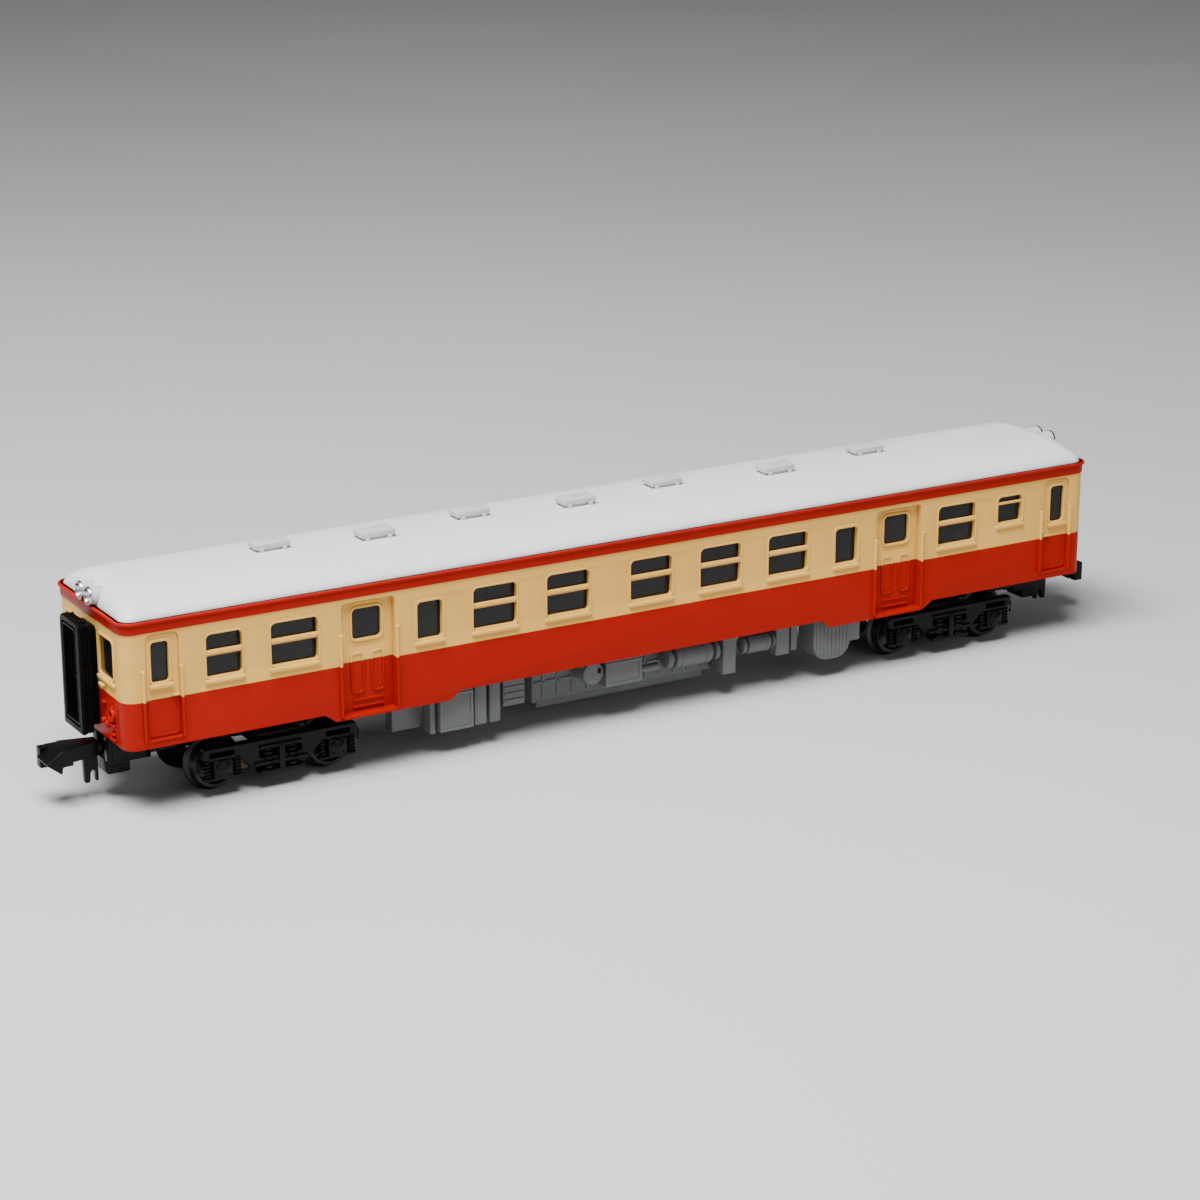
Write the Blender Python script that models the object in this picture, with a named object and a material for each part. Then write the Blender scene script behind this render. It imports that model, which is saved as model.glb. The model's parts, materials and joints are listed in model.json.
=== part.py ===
"""N-scale double-cab passenger coach on two bogies, in metres, +Z up.

The coach runs along X with its front end at -X.  The origin is on the track's centre line, midway
between the couplers, at the height of the flange bottoms.  Lengths below are in millimetres, and
heights are above the rail head; both are converted when an object is made.
"""
import math

import bmesh
import bpy
from mathutils import Matrix, Vector

MM = 0.001
RAIL_HEAD = 0.6          # the rail head stands this far above the flange bottoms
GAP = 0.05               # running room between moulded parts that sit together

# ---- body ----
HALF_LENGTH = 65.0
HALF_WIDTH = 9.35
CORNER_RADIUS = 1.5
WALL = 0.8
SILL_END = 7.6
SILL_DOOR = 6.6
GUTTER_LOW = 20.79
GUTTER_TOP = 22.16
GUTTER_PROUD = 0.35
SILL_STEPS = ((-41.4, -40.0, -25.6, -24.3), (25.1, 26.4, 40.1, 41.8))
GLASS_LOW = 14.40
GLASS_TOP = 19.44
WINDOWS = [
    (-53.25, 4.3), (-44.85, 5.7), (-28.1, 3.2), (-19.79, 5.65), (-10.22, 5.65),
    (0.96, 5.65), (10.53, 5.65), (20.10, 5.65), (28.52, 3.25), (45.02, 5.65),
]
SERVICE_WINDOW = (53.15, 3.7, 15.9, 19.36)
FAR_END_WINDOW = (53.25, 4.3, GLASS_LOW, GLASS_TOP)
CREW_DOOR_X = 60.45
CREW_DOOR = (3.9, 8.6, 20.5)
CREW_WINDOW = (60.7, 2.1, 14.95, 19.55)
PASSENGER_DOORS = (-35.95, 36.15)
PASSENGER_DOOR = (6.3, 7.7, 20.3)
DOOR_WINDOW = (3.6, 15.95, 19.5)
DOOR_RECESS = 0.3
END_WINDOW_Y = (2.6, 6.7)
END_WINDOW_Z = (14.95, 19.45)
PANE_PLAY = 0.06

# ---- roof ----
ROOF_BASE = 22.18
ROOF_CROWN = 24.65
ROOF_SHELL = 0.6
ROOF_END_RUN = 3.6
ROOF_HALF_LENGTH = 64.75
ROOF_HALF_WIDTH = 9.1
VENT_X = (-42.9, -30.7, -17.5, -4.4, 8.7, 23.6, 38.1)
VENT_Y = 0.95
VENT_SIZE = (4.3, 2.3, 0.9)

# ---- lamps and their light units, front end ----
LAMP_Y = 1.25
LAMP_Z = 23.25
LAMP_RADIUS = 1.05
LAMP_BORE = 0.8
LAMP_FACE_X = -65.6
COWL_X = (-63.9, -61.0)
COWL_HALF_WIDTH = 2.4
COWL_Z = (22.25, 24.15)
GUIDE_X = (-63.0, -59.35)
GUIDE_HALF_WIDTH = 1.6
GUIDE_Z = (22.6, 23.35)
LENS_RADIUS = 0.7
BOARD_X = (-58.45, -57.85)

# ---- gangway, front end ----
GANGWAY_FACE_X = -67.4
GANGWAY = (2.75, 8.0, 20.75, 0.9)
GANGWAY_OPENING = (1.65, 9.3, 19.6, 0.4)
GANGWAY_PLEATS = (
    (0.0, 0.0), (0.2, 0.0), (0.32, 0.3), (0.44, 0.0), (0.62, 0.0), (0.66, 0.75), (1.0, 0.75),
)

# ---- glazing ----
PANE_THICKNESS = 0.4
SIDE_STRIP = (62.6, 13.9, 20.1)
END_STRIP = (7.3, 14.4, 20.0)

# ---- floor, ballast, seats ----
FLOOR_LOW = 7.8
FLOOR_TOP = 8.8
FLOOR_HALF = (63.8, 8.35)
BOSS_RADIUS = 2.6
BOSS_LOW = 6.0
WEIGHT_HALF = (35.0, 4.5)
SEAT_BASE = (10.2, 10.7)
SEAT_BACK_TOP = 14.3
SEAT_ROWS = (-24.9, -15.0, -4.6, 5.8, 15.3, 25.0)
BULKHEAD_X = 56.5

# ---- bogies, in the front bogie's own frame: its pivot at x = 0, the coupler towards -X ----
BOGIE_X = 46.0
AXLE_X = 7.0
AXLE_Z = 2.8
TREAD_RADIUS = 2.8
FLANGE_RADIUS = 3.4
WHEEL_BACK = 3.7
WHEEL_FACE = 5.45
AXLE_RADIUS = 0.75
JOURNAL_RADIUS = 0.45
FRAME_INNER = 6.35
FRAME_OUTER = 7.75
BOLSTER = (4.3, 5.9)
PIN_RADIUS = 1.0

# ---- coupler, in the same frame ----
COUPLER_X = -16.4
COUPLER_Z = 5.4
POCKET_X = (-18.4, -13.4)
POCKET_HALF_WIDTH = 2.3
POCKET_Z = (3.9, 6.9)
SPRING_BOX_X = (-18.4, -15.7)
SPRING_BOX_HALF_WIDTH = 1.7
SPRING_BOX_LOW = 2.5
ARM_HALF_WIDTH = 2.6
CAVITY_Z = (4.3, 6.5)
HEAD_HALF_WIDTH = 2.1

CREAM = (0.66, 0.46, 0.22)
GREY = (0.13, 0.14, 0.14)
BLACK = (0.010, 0.010, 0.011)
STEEL = (0.42, 0.42, 0.43)


# ---------------------------------------------------------------- helpers
def clear_scene():
    for obj in list(bpy.data.objects):
        bpy.data.objects.remove(obj, do_unlink=True)


def material(name, colour, roughness, metallic=0.0, alpha=1.0):
    mat = bpy.data.materials.new(name)
    mat.use_nodes = True
    shader = mat.node_tree.nodes["Principled BSDF"]
    shader.inputs["Base Color"].default_value = (*colour, 1.0)
    shader.inputs["Roughness"].default_value = roughness
    shader.inputs["Metallic"].default_value = metallic
    shader.inputs["Alpha"].default_value = alpha
    return mat


def frame_empty(name, x, turn):
    empty = bpy.data.objects.new(name, None)
    empty.location = (x * MM, 0.0, RAIL_HEAD * MM)
    empty.rotation_euler = (0.0, 0.0, turn)
    bpy.context.collection.objects.link(empty)
    return empty


def to_mesh(name, bm, origin, smooth):
    """Turn millimetres about origin into a metre mesh."""
    bmesh.ops.recalc_face_normals(bm, faces=bm.faces)
    bmesh.ops.transform(bm, matrix=Matrix.Translation(-Vector(origin)), verts=bm.verts)
    bmesh.ops.scale(bm, vec=(MM, MM, MM), verts=bm.verts)
    mesh = bpy.data.meshes.new(name)
    bm.to_mesh(mesh)
    bm.free()
    if smooth:
        mesh.shade_smooth()
        mesh.set_sharp_from_angle(angle=math.radians(35))
    return mesh


def place(name, mesh, parent, origin):
    """Link an object that holds mesh, with its origin at origin in its parent's frame."""
    obj = bpy.data.objects.new(name, mesh)
    obj.parent = parent
    obj.location = Vector(origin) * MM
    bpy.context.collection.objects.link(obj)
    return obj


def make(name, bm, mat, parent, origin=(0.0, 0.0, 0.0), smooth=False):
    mesh = to_mesh(name, bm, origin, smooth)
    mesh.materials.append(mat)
    return place(name, mesh, parent, origin)


def boolean(obj, bm, operation, label):
    """Fuse or cut obj with the shapes in bm, which stay a live, hidden guide."""
    guide = make(obj.name + "_" + label, bm, obj.data.materials[0], obj.parent)
    guide.location = (0.0, 0.0, 0.0)
    guide.hide_render = True
    guide.display_type = 'WIRE'
    modifier = obj.modifiers.new(label, 'BOOLEAN')
    modifier.operation = operation
    modifier.solver = 'EXACT'
    modifier.use_self = True
    modifier.object = guide
    return obj


def box(bm, x, y, z):
    """Add a box that spans the pairs x, y and z."""
    verts = bmesh.ops.create_cube(bm, size=1.0)["verts"]
    bmesh.ops.scale(bm, vec=(x[1] - x[0], y[1] - y[0], z[1] - z[0]), verts=verts)
    middle = ((x[0] + x[1]) / 2, (y[0] + y[1]) / 2, (z[0] + z[1]) / 2)
    bmesh.ops.translate(bm, vec=middle, verts=verts)


def prism(bm, outline, axis, span):
    """Extrude a closed outline along axis; outline pairs are the other two axes in order."""
    def corner(a, b, along):
        if axis == 'X':
            return (along, a, b)
        if axis == 'Y':
            return (a, along, b)
        return (a, b, along)

    low = [bm.verts.new(corner(a, b, span[0])) for a, b in outline]
    high = [bm.verts.new(corner(a, b, span[1])) for a, b in outline]
    bm.faces.new(low)
    bm.faces.new(reversed(high))
    count = len(outline)
    for i in range(count):
        j = (i + 1) % count
        bm.faces.new((low[i], low[j], high[j], high[i]))


def rod(bm, axis, centre, radius, span, sides=12):
    """A cylinder along axis; centre gives the other two coordinates."""
    ring = []
    for i in range(sides):
        angle = math.tau * (i + 0.5) / sides
        ring.append((centre[0] + radius * math.cos(angle), centre[1] + radius * math.sin(angle)))
    prism(bm, ring, axis, span)


def turned(bm, profile, sides, closed):
    """Spin (radius, y) points round the Y axis; an open profile starts and ends on the axis."""
    rings = []
    for radius, y in profile:
        if radius == 0.0:
            rings.append([bm.verts.new((0.0, y, 0.0))])
            continue
        ring = []
        for i in range(sides):
            angle = math.tau * i / sides
            ring.append(bm.verts.new((radius * math.cos(angle), y, radius * math.sin(angle))))
        rings.append(ring)
    pairs = list(zip(rings, rings[1:]))
    if closed:
        pairs.append((rings[-1], rings[0]))
    for first, second in pairs:
        for i in range(sides):
            j = (i + 1) % sides
            corners = [first[i % len(first)], first[j % len(first)]]
            corners += [second[j % len(second)], second[i % len(second)]]
            unique = list(dict.fromkeys(corners))
            bm.faces.new(unique)


def rounded_rectangle(half_x, half_y, radius, steps):
    """Points of a rounded rectangle, anticlockwise."""
    points = []
    for corner in range(4):
        sign_x = 1 if corner in (0, 3) else -1
        sign_y = 1 if corner in (0, 1) else -1
        for step in range(steps + 1):
            angle = math.pi / 2 * (corner + step / steps)
            x = sign_x * (half_x - radius) + radius * math.cos(angle)
            y = sign_y * (half_y - radius) + radius * math.sin(angle)
            points.append((x, y))
    return points


def bridge(bm, rings, closed_along):
    """Join equal rings of vertices in order, and the last to the first if closed_along."""
    pairs = list(zip(rings, rings[1:]))
    if closed_along:
        pairs.append((rings[-1], rings[0]))
    for first, second in pairs:
        count = len(first)
        for i in range(count):
            j = (i + 1) % count
            bm.faces.new((first[i], first[j], second[j], second[i]))


# ---------------------------------------------------------------- body
def side_windows(side):
    """(centre x, width, low z, top z) of every glazed opening in the side at y = side."""
    openings = [(x, width, GLASS_LOW, GLASS_TOP) for x, width in WINDOWS]
    openings.append(SERVICE_WINDOW if side < 0 else FAR_END_WINDOW)
    for end in (-1, 1):
        openings.append((end * CREW_WINDOW[0], *CREW_WINDOW[1:]))
    for x in PASSENGER_DOORS:
        openings.append((x, *DOOR_WINDOW))
    return openings


def body_shell(mat, root):
    section = [
        (0.0, SILL_DOOR), (0.0, GUTTER_LOW), (GUTTER_PROUD, GUTTER_LOW + 0.15),
        (GUTTER_PROUD, GUTTER_TOP), (-WALL, GUTTER_TOP), (-WALL, SILL_DOOR),
    ]
    bm = bmesh.new()
    rings = []
    for offset, z in section:
        radius = max(CORNER_RADIUS + offset, 0.3)
        plan = rounded_rectangle(HALF_LENGTH + offset, HALF_WIDTH + offset, radius, 4)
        rings.append([bm.verts.new((x, y, z)) for x, y in plan])
    bridge(bm, rings, closed_along=True)
    shell = make("body_shell", bm, mat, root)

    relief = bmesh.new()
    recess_y = (HALF_WIDTH - DOOR_RECESS, HALF_WIDTH + 1.0)
    for side in (-1, 1):
        y = sorted((side * recess_y[0], side * recess_y[1]))
        for x in PASSENGER_DOORS:
            half = PASSENGER_DOOR[0] / 2
            box(relief, (x - half, x + half), y, PASSENGER_DOOR[1:])
        for end in (-1, 1):
            half = CREW_DOOR[0] / 2
            centre = end * CREW_DOOR_X
            box(relief, (centre - half, centre + half), y, CREW_DOOR[1:])
    boolean(shell, relief, 'DIFFERENCE', "door_recesses")

    openings = bmesh.new()
    for side in (-1, 1):
        y = sorted((side * (HALF_WIDTH - 2 * WALL), side * (HALF_WIDTH + 1.0)))
        for x, width, low, top in side_windows(side):
            box(openings, (x - width / 2, x + width / 2), y, (low, top))
    for end in (-1, 1):
        x = sorted((end * (HALF_LENGTH - 2 * WALL), end * (HALF_LENGTH + 1.0)))
        for side in (-1, 1):
            y = sorted((side * END_WINDOW_Y[0], side * END_WINDOW_Y[1]))
            box(openings, x, y, END_WINDOW_Z)
    boolean(shell, openings, 'DIFFERENCE', "window_openings")

    below = SILL_DOOR - 1.0
    front, rear = SILL_STEPS
    low = SILL_DOOR - 0.2
    beyond = HALF_LENGTH + 5.0
    spans = [
        [(-beyond, below), (front[0], low), (front[0], SILL_END), (-beyond, SILL_END)],
        [(front[3], low), (rear[0], low), (rear[0], SILL_END), (front[3], SILL_END)],
        [(rear[3], low), (beyond, below), (beyond, SILL_END), (rear[3], SILL_END)],
    ]
    sill = bmesh.new()
    for outline in spans:
        prism(sill, outline, 'Y', (-12.0, 12.0))
    boolean(shell, sill, 'DIFFERENCE', "raised_sills")


def glazing_strip(name, side, mat, root):
    inner = HALF_WIDTH - WALL - GAP
    y = sorted((side * (inner - PANE_THICKNESS), side * inner))
    half_length, low_edge, top_edge = SIDE_STRIP
    bm = bmesh.new()
    box(bm, (-half_length, half_length), y, (low_edge, top_edge))
    strip = make(name, bm, mat, root)
    panes = bmesh.new()
    pane_y = sorted((side * (inner - 0.2), side * (HALF_WIDTH - DOOR_RECESS - 0.1)))
    for x, width, low, top in side_windows(side):
        half = width / 2 - PANE_PLAY
        box(panes, (x - half, x + half), pane_y, (low + PANE_PLAY, top - PANE_PLAY))
    boolean(strip, panes, 'UNION', "panes")


def cab_glazing(name, mat, end):
    inner = -(HALF_LENGTH - WALL - GAP)
    bm = bmesh.new()
    half, low_edge, top_edge = END_STRIP
    box(bm, (inner, inner + PANE_THICKNESS), (-half, half), (low_edge, top_edge))
    plate = make(name, bm, mat, end)
    panes = bmesh.new()
    low, high = END_WINDOW_Y[0] + PANE_PLAY, END_WINDOW_Y[1] - PANE_PLAY
    for y in ((-high, -low), (low, high)):
        z = (END_WINDOW_Z[0] + PANE_PLAY, END_WINDOW_Z[1] - PANE_PLAY)
        box(panes, (inner - 0.5, inner + 0.2), y, z)
    boolean(plate, panes, 'UNION', "panes")


# ---------------------------------------------------------------- roof
def roof_surface(bm, half_length, half_width, height, columns):
    """A domed grid of vertices; each row runs across the coach from -Y to +Y."""
    run = ROOF_END_RUN
    flat = half_length - run
    ends = [1.0, 0.985, 0.93, 0.83, 0.66, 0.42, 0.2]
    stations = [-(flat + run * t) for t in ends] + [-flat, 0.0, flat]
    stations += [flat + run * t for t in reversed(ends)]
    rows = []
    for x in stations:
        overrun = min(1.0, max(0.0, (abs(x) - flat) / run))
        rise = (1.0 - overrun ** 2.3) ** 0.55
        from_end = max(0.0, CORNER_RADIUS - (half_length - abs(x)))
        width = half_width - CORNER_RADIUS + math.sqrt(CORNER_RADIUS ** 2 - from_end ** 2)
        row = []
        for i in range(columns + 1):
            u = math.sin(math.pi / 2 * (2.0 * i / columns - 1.0))
            arch = (1.0 - abs(u) ** 2.4) ** 0.62
            row.append(bm.verts.new((x, width * u, ROOF_BASE + height * arch * rise)))
        rows.append(row)
    for first, second in zip(rows, rows[1:]):
        for i in range(columns):
            bm.faces.new((first[i], first[i + 1], second[i + 1], second[i]))
    rim = [row[0] for row in rows] + rows[-1][1:]
    rim += [row[-1] for row in reversed(rows[:-1])] + rows[0][-2:0:-1]
    return rim


def roof(mat, root):
    bm = bmesh.new()
    height = ROOF_CROWN - ROOF_BASE
    outer = roof_surface(bm, ROOF_HALF_LENGTH, ROOF_HALF_WIDTH, height, 14)
    inner = roof_surface(
        bm, ROOF_HALF_LENGTH - ROOF_SHELL, ROOF_HALF_WIDTH - ROOF_SHELL, height - ROOF_SHELL, 14)
    bridge(bm, [outer, inner], closed_along=False)
    shell = make("roof", bm, mat, root, smooth=True)
    notch = bmesh.new()
    half = LAMP_Y + LAMP_RADIUS + 0.25
    for end in (-1, 1):
        x = sorted((end * (-COWL_X[1] - 0.1), end * (HALF_LENGTH + 2.0)))
        box(notch, x, (-half, half), (ROOF_BASE - 1.0, ROOF_CROWN + 1.0))
    boolean(shell, notch, 'DIFFERENCE', "lamp_notches")


def roof_vents(mat, root):
    length, width, height = VENT_SIZE
    foot = ROOF_CROWN + GAP
    bm = bmesh.new()
    taper = 0.12
    half_x, half_y = length / 2, width / 2
    low = [(-half_x, -half_y), (half_x, -half_y), (half_x, half_y), (-half_x, half_y)]
    rings = []
    for inset, z in ((0.35, 0.0), (0.35, 0.12), (0.0, 0.2), (taper, height)):
        ring = []
        for x, y in low:
            ring.append(bm.verts.new((x - math.copysign(inset, x), y - math.copysign(inset, y), z)))
        rings.append(ring)
    bridge(bm, rings, closed_along=False)
    bm.faces.new(rings[0])
    bm.faces.new(reversed(rings[-1]))
    mesh = to_mesh("roof_vent", bm, (0.0, 0.0, 0.0), False)
    mesh.materials.append(mat)
    for index, x in enumerate(VENT_X):
        side = VENT_Y if index % 2 == 0 else -VENT_Y
        place("roof_vent_" + str(index + 1), mesh, root, (x, side, foot))


# ---------------------------------------------------------------- end fittings
def gangway(name, mat, end):
    """Pleated vestibule frame: rings of an arch-topped outline, wide and narrow in turn."""
    wall_x = -(HALF_LENGTH + GAP)

    def outline(half_width, low, top, radius):
        points = [(half_width, low)]
        for step in range(5):
            angle = math.pi / 2 * step / 4
            y = half_width - radius + radius * math.cos(angle)
            points.append((y, top - radius + radius * math.sin(angle)))
        return points + [(-y, z) for y, z in reversed(points)]

    half, low, top, radius = GANGWAY
    bm = bmesh.new()
    rings = []
    for share, inset in GANGWAY_PLEATS:
        x = GANGWAY_FACE_X + (wall_x - GANGWAY_FACE_X) * share
        points = outline(half - inset, low + inset, top - inset, radius)
        rings.append([bm.verts.new((x, y, z)) for y, z in points])
    for x in (wall_x, GANGWAY_FACE_X):
        rings.append([bm.verts.new((x, y, z)) for y, z in outline(*GANGWAY_OPENING)])
    bridge(bm, rings, closed_along=True)
    make(name, bm, mat, end)


def headlight(name, mat, end):
    bm = bmesh.new()
    box(bm, COWL_X, (-COWL_HALF_WIDTH, COWL_HALF_WIDTH), COWL_Z)
    housing = make(name, bm, mat, end, smooth=True)
    barrels = bmesh.new()
    for y in (-LAMP_Y, LAMP_Y):
        rod(barrels, 'X', (y, LAMP_Z), LAMP_RADIUS, (LAMP_FACE_X, COWL_X[0] + 0.6), 16)
    boolean(housing, barrels, 'UNION', "barrels")
    bores = bmesh.new()
    for y in (-LAMP_Y, LAMP_Y):
        rod(bores, 'X', (y, LAMP_Z), LAMP_BORE, (LAMP_FACE_X - 1.0, -62.7), 16)
    half = GUIDE_HALF_WIDTH + 0.15
    z = (GUIDE_Z[0] - 0.1, GUIDE_Z[1] + 0.1)
    box(bores, (GUIDE_X[0] - 0.1, COWL_X[1] + 1.0), (-half, half), z)
    boolean(housing, bores, 'DIFFERENCE', "bores")


def light_unit(suffix, mats, end):
    bm = bmesh.new()
    box(bm, GUIDE_X, (-GUIDE_HALF_WIDTH, GUIDE_HALF_WIDTH), GUIDE_Z)
    guide = make("light_guide_" + suffix, bm, mats["lens"], end)
    tips = bmesh.new()
    for y in (-LAMP_Y, LAMP_Y):
        rod(tips, 'X', (y, LAMP_Z), LENS_RADIUS, (LAMP_FACE_X + 0.25, GUIDE_X[0] + 0.2), 12)
    boolean(guide, tips, 'UNION', "lens_tips")

    bm = bmesh.new()
    box(bm, (-59.2, -58.5), (-0.8, 0.8), (22.5, 23.4))
    make("led_" + suffix, bm, mats["led"], end)

    bm = bmesh.new()
    board = [(6.8, 8.9), (6.8, 10.0), (2.6, 10.0), (2.6, 23.45)]
    board += [(-y, z) for y, z in reversed(board)]
    prism(bm, board, 'X', BOARD_X)
    make("light_board_" + suffix, bm, mats["board"], end)


# ---------------------------------------------------------------- floor and what it carries
def underframe(mat, root):
    bm = bmesh.new()
    box(bm, (-FLOOR_HALF[0], FLOOR_HALF[0]), (-FLOOR_HALF[1], FLOOR_HALF[1]), (FLOOR_LOW, FLOOR_TOP))
    floor = make("underframe", bm, mat, root)
    bosses = bmesh.new()
    holes = bmesh.new()
    for x in (-BOGIE_X, BOGIE_X):
        rod(bosses, 'Z', (x, 0.0), BOSS_RADIUS, (BOSS_LOW, FLOOR_LOW + 0.4), 20)
        rod(holes, 'Z', (x, 0.0), PIN_RADIUS + 0.08, (BOSS_LOW - 1.0, FLOOR_TOP + 1.0), 16)
    boolean(floor, bosses, 'UNION', "pivot_bosses")
    boolean(floor, holes, 'DIFFERENCE', "pivot_holes")


def equipment(mat, root):
    """Underfloor equipment, one grey moulding; the far side repeats the near side turned end for end."""
    plate = (6.9, 7.7)
    hang = 7.1
    bm = bmesh.new()
    box(bm, (-31.6, 32.4), (-7.2, 7.2), plate)
    moulding = make("underfloor_equipment", bm, mat, root)
    items = bmesh.new()
    box(items, (-13.4, 3.9), (-4.6, 4.6), (1.5, hang))
    blocks = [
        (-31.0, -26.6, 3.4, 6.4, 2.2), (-26.3, -21.9, 5.5, 8.2, 1.9), (-21.7, -20.0, 5.6, 8.0, 1.9),
        (-19.7, -18.2, 5.6, 8.0, 2.0), (-17.9, -13.7, 5.2, 7.4, 3.2), (-4.7, 0.3, 5.2, 8.2, 3.25),
        (12.0, 13.9, 5.2, 7.9, 2.6), (19.6, 21.6, 5.4, 7.9, 3.6), (21.9, 22.9, 5.4, 7.6, 3.8),
    ]
    tank = []
    tank_radius = 2.2
    for step in range(5):
        angle = math.pi / 2 * step / 4
        y = -8.2 + tank_radius * (1.0 - math.cos(angle))
        tank.append((y, 1.9 + tank_radius * (1.0 - math.sin(angle))))
    tank += [(-4.6, 1.9), (-4.6, hang), (-8.2, hang)]
    for turn in (1, -1):
        for x0, x1, y0, y1, low in blocks:
            x = sorted((turn * x0, turn * x1))
            y = sorted((-turn * y0, -turn * y1))
            box(items, x, y, (low, hang))
        rod(items, 'X', (-turn * 6.6, 5.5), 1.62, sorted((turn * 4.2, turn * 11.8)), 16)
        rod(items, 'X', (-turn * 6.9, 6.0), 1.12, sorted((turn * 14.4, turn * 19.3)), 12)
        rod(items, 'Y', (-turn * 6.3, 5.9), 1.3, sorted((-turn * 5.2, -turn * 8.0)), 12)
        outline = [(turn * y, z) for y, z in tank]
        prism(items, outline, 'X', sorted((turn * 24.9, turn * 31.9)))
    bmesh.ops.recalc_face_normals(items, faces=items.faces)
    boolean(moulding, items, 'UNION', "units")


def ballast(mat, root):
    bm = bmesh.new()
    half_x, half_y = WEIGHT_HALF
    box(bm, (-half_x, half_x), (-half_y, half_y), (FLOOR_TOP + GAP, FLOOR_TOP + GAP + 1.2))
    make("ballast_weight", bm, mat, root)


def contact_strips(mat, root):
    for side, name in ((-1, "contact_strip_left"), (1, "contact_strip_right")):
        bm = bmesh.new()
        y = sorted((side * 5.0, side * 6.6))
        low = FLOOR_TOP + GAP
        outline = [(-57.75, low), (57.75, low), (57.75, low + 1.0), (57.55, low + 1.0)]
        outline += [(57.55, low + 0.2), (-57.55, low + 0.2), (-57.55, low + 1.0), (-57.75, low + 1.0)]
        prism(bm, outline, 'Y', y)
        make(name, bm, mat, root)


def seats(mat, root):
    low, top = SEAT_BASE
    bm = bmesh.new()
    box(bm, (-57.2, 57.2), (-7.8, 7.8), (low, top))
    unit = make("seat_unit", bm, mat, root)
    benches = bmesh.new()
    cushion, back = top + 1.7, SEAT_BACK_TOP
    for x in SEAT_ROWS:
        outline = [
            (x - 3.1, top - 0.2), (x + 3.1, top - 0.2), (x + 3.1, cushion), (x + 0.75, cushion + 0.2),
            (x + 0.4, back), (x - 0.4, back), (x - 0.75, cushion + 0.2), (x - 3.1, cushion),
        ]
        for y in ((-7.6, -2.0), (2.0, 7.6)):
            prism(benches, outline, 'Y', y)
    for x in (-BULKHEAD_X, BULKHEAD_X):
        box(benches, (x - 0.4, x + 0.4), (-7.7, 7.7), (top - 0.2, 21.4))
    boolean(unit, benches, 'UNION', "benches")


# ---------------------------------------------------------------- bogies
def bogie_frame_mesh(mat, bogie, name):
    bm = bmesh.new()
    box(bm, (-2.6, 2.6), (-6.6, 6.6), BOLSTER)
    frame = make(name, bm, mat, bogie)
    members = bmesh.new()
    half = [
        (9.0, 5.5), (9.6, 5.0), (9.4, 3.9), (8.9, 1.7), (5.1, 1.7), (4.6, 3.2), (3.6, 3.2), (3.0, 1.4),
    ]
    outline = half + [(-x, z) for x, z in reversed(half)]
    for y in ((-FRAME_OUTER, -FRAME_INNER), (FRAME_INNER, FRAME_OUTER)):
        prism(members, outline, 'Y', y)
    box(members, (POCKET_X[1] - 0.3, -2.4), (-ARM_HALF_WIDTH, ARM_HALF_WIDTH), (4.5, 5.7))
    width = POCKET_HALF_WIDTH
    box(members, POCKET_X, (-width, width), POCKET_Z)
    width = SPRING_BOX_HALF_WIDTH
    box(members, SPRING_BOX_X, (-width, width), (SPRING_BOX_LOW, POCKET_Z[0] + 0.2))
    boolean(frame, members, 'UNION', "members")
    holes = bmesh.new()
    rod(holes, 'Z', (0.0, 0.0), PIN_RADIUS + 0.2, (BOLSTER[0] - 1.0, BOLSTER[1] + 1.0), 16)
    for x in (-AXLE_X, AXLE_X):
        for side in (-1, 1):
            y = sorted((side * (FRAME_INNER - 0.5), side * (FRAME_INNER + 0.6)))
            rod(holes, 'Y', (x, AXLE_Z), JOURNAL_RADIUS + 0.1, y, 12)
    box(holes, (POCKET_X[0] + 0.5, -14.0), (-1.9, 1.9), CAVITY_Z)
    box(holes, (POCKET_X[0] - 1.0, POCKET_X[0] + 0.7), (-1.0, 1.0), CAVITY_Z)
    boolean(frame, holes, 'DIFFERENCE', "bearings_and_pocket")


def contact_plate(name, mat, bogie, side):
    low, top = 2.0, 3.8
    outline = [(-8.6, low), (8.6, low), (8.6, top), (3.5, top), (3.5, 6.0), (2.9, 6.0)]
    outline += [(2.9, top), (-8.6, top)]
    bm = bmesh.new()
    prism(bm, outline, 'Y', sorted((side * 5.93, side * 6.13)))
    plate = make(name, bm, mat, bogie)
    holes = bmesh.new()
    for x in (-AXLE_X, AXLE_X):
        rod(holes, 'Y', (x, AXLE_Z), JOURNAL_RADIUS + 0.1, sorted((side * 5.0, side * 7.0)), 12)
    boolean(plate, holes, 'DIFFERENCE', "journal_holes")


def wheelset_meshes(mats):
    bm = bmesh.new()
    end = FRAME_INNER + 0.5
    shoulder = 5.85
    profile = [
        (0.0, -end), (0.2, -end), (JOURNAL_RADIUS, -end + 0.25), (JOURNAL_RADIUS, -shoulder),
        (AXLE_RADIUS, -shoulder + 0.1),
    ]
    profile += [(radius, -y) for radius, y in reversed(profile)]
    turned(bm, profile, 16, closed=False)
    axle = to_mesh("axle", bm, (0.0, 0.0, 0.0), True)
    axle.materials.append(mats["steel"])

    bm = bmesh.new()
    profile = [
        (AXLE_RADIUS + GAP, WHEEL_BACK), (FLANGE_RADIUS - 0.2, WHEEL_BACK),
        (FLANGE_RADIUS, WHEEL_BACK + 0.2),
        (FLANGE_RADIUS - 0.1, WHEEL_BACK + 0.4), (TREAD_RADIUS + 0.05, WHEEL_BACK + 0.65),
        (TREAD_RADIUS - 0.05, WHEEL_FACE), (2.3, WHEEL_FACE), (2.1, WHEEL_FACE - 0.4),
        (AXLE_RADIUS + GAP, WHEEL_FACE - 0.3),
    ]
    turned(bm, profile, 20, closed=True)
    wheel = to_mesh("wheel", bm, (0.0, 0.0, 0.0), True)
    wheel.materials.append(mats["wheel"])
    return axle, wheel


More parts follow.
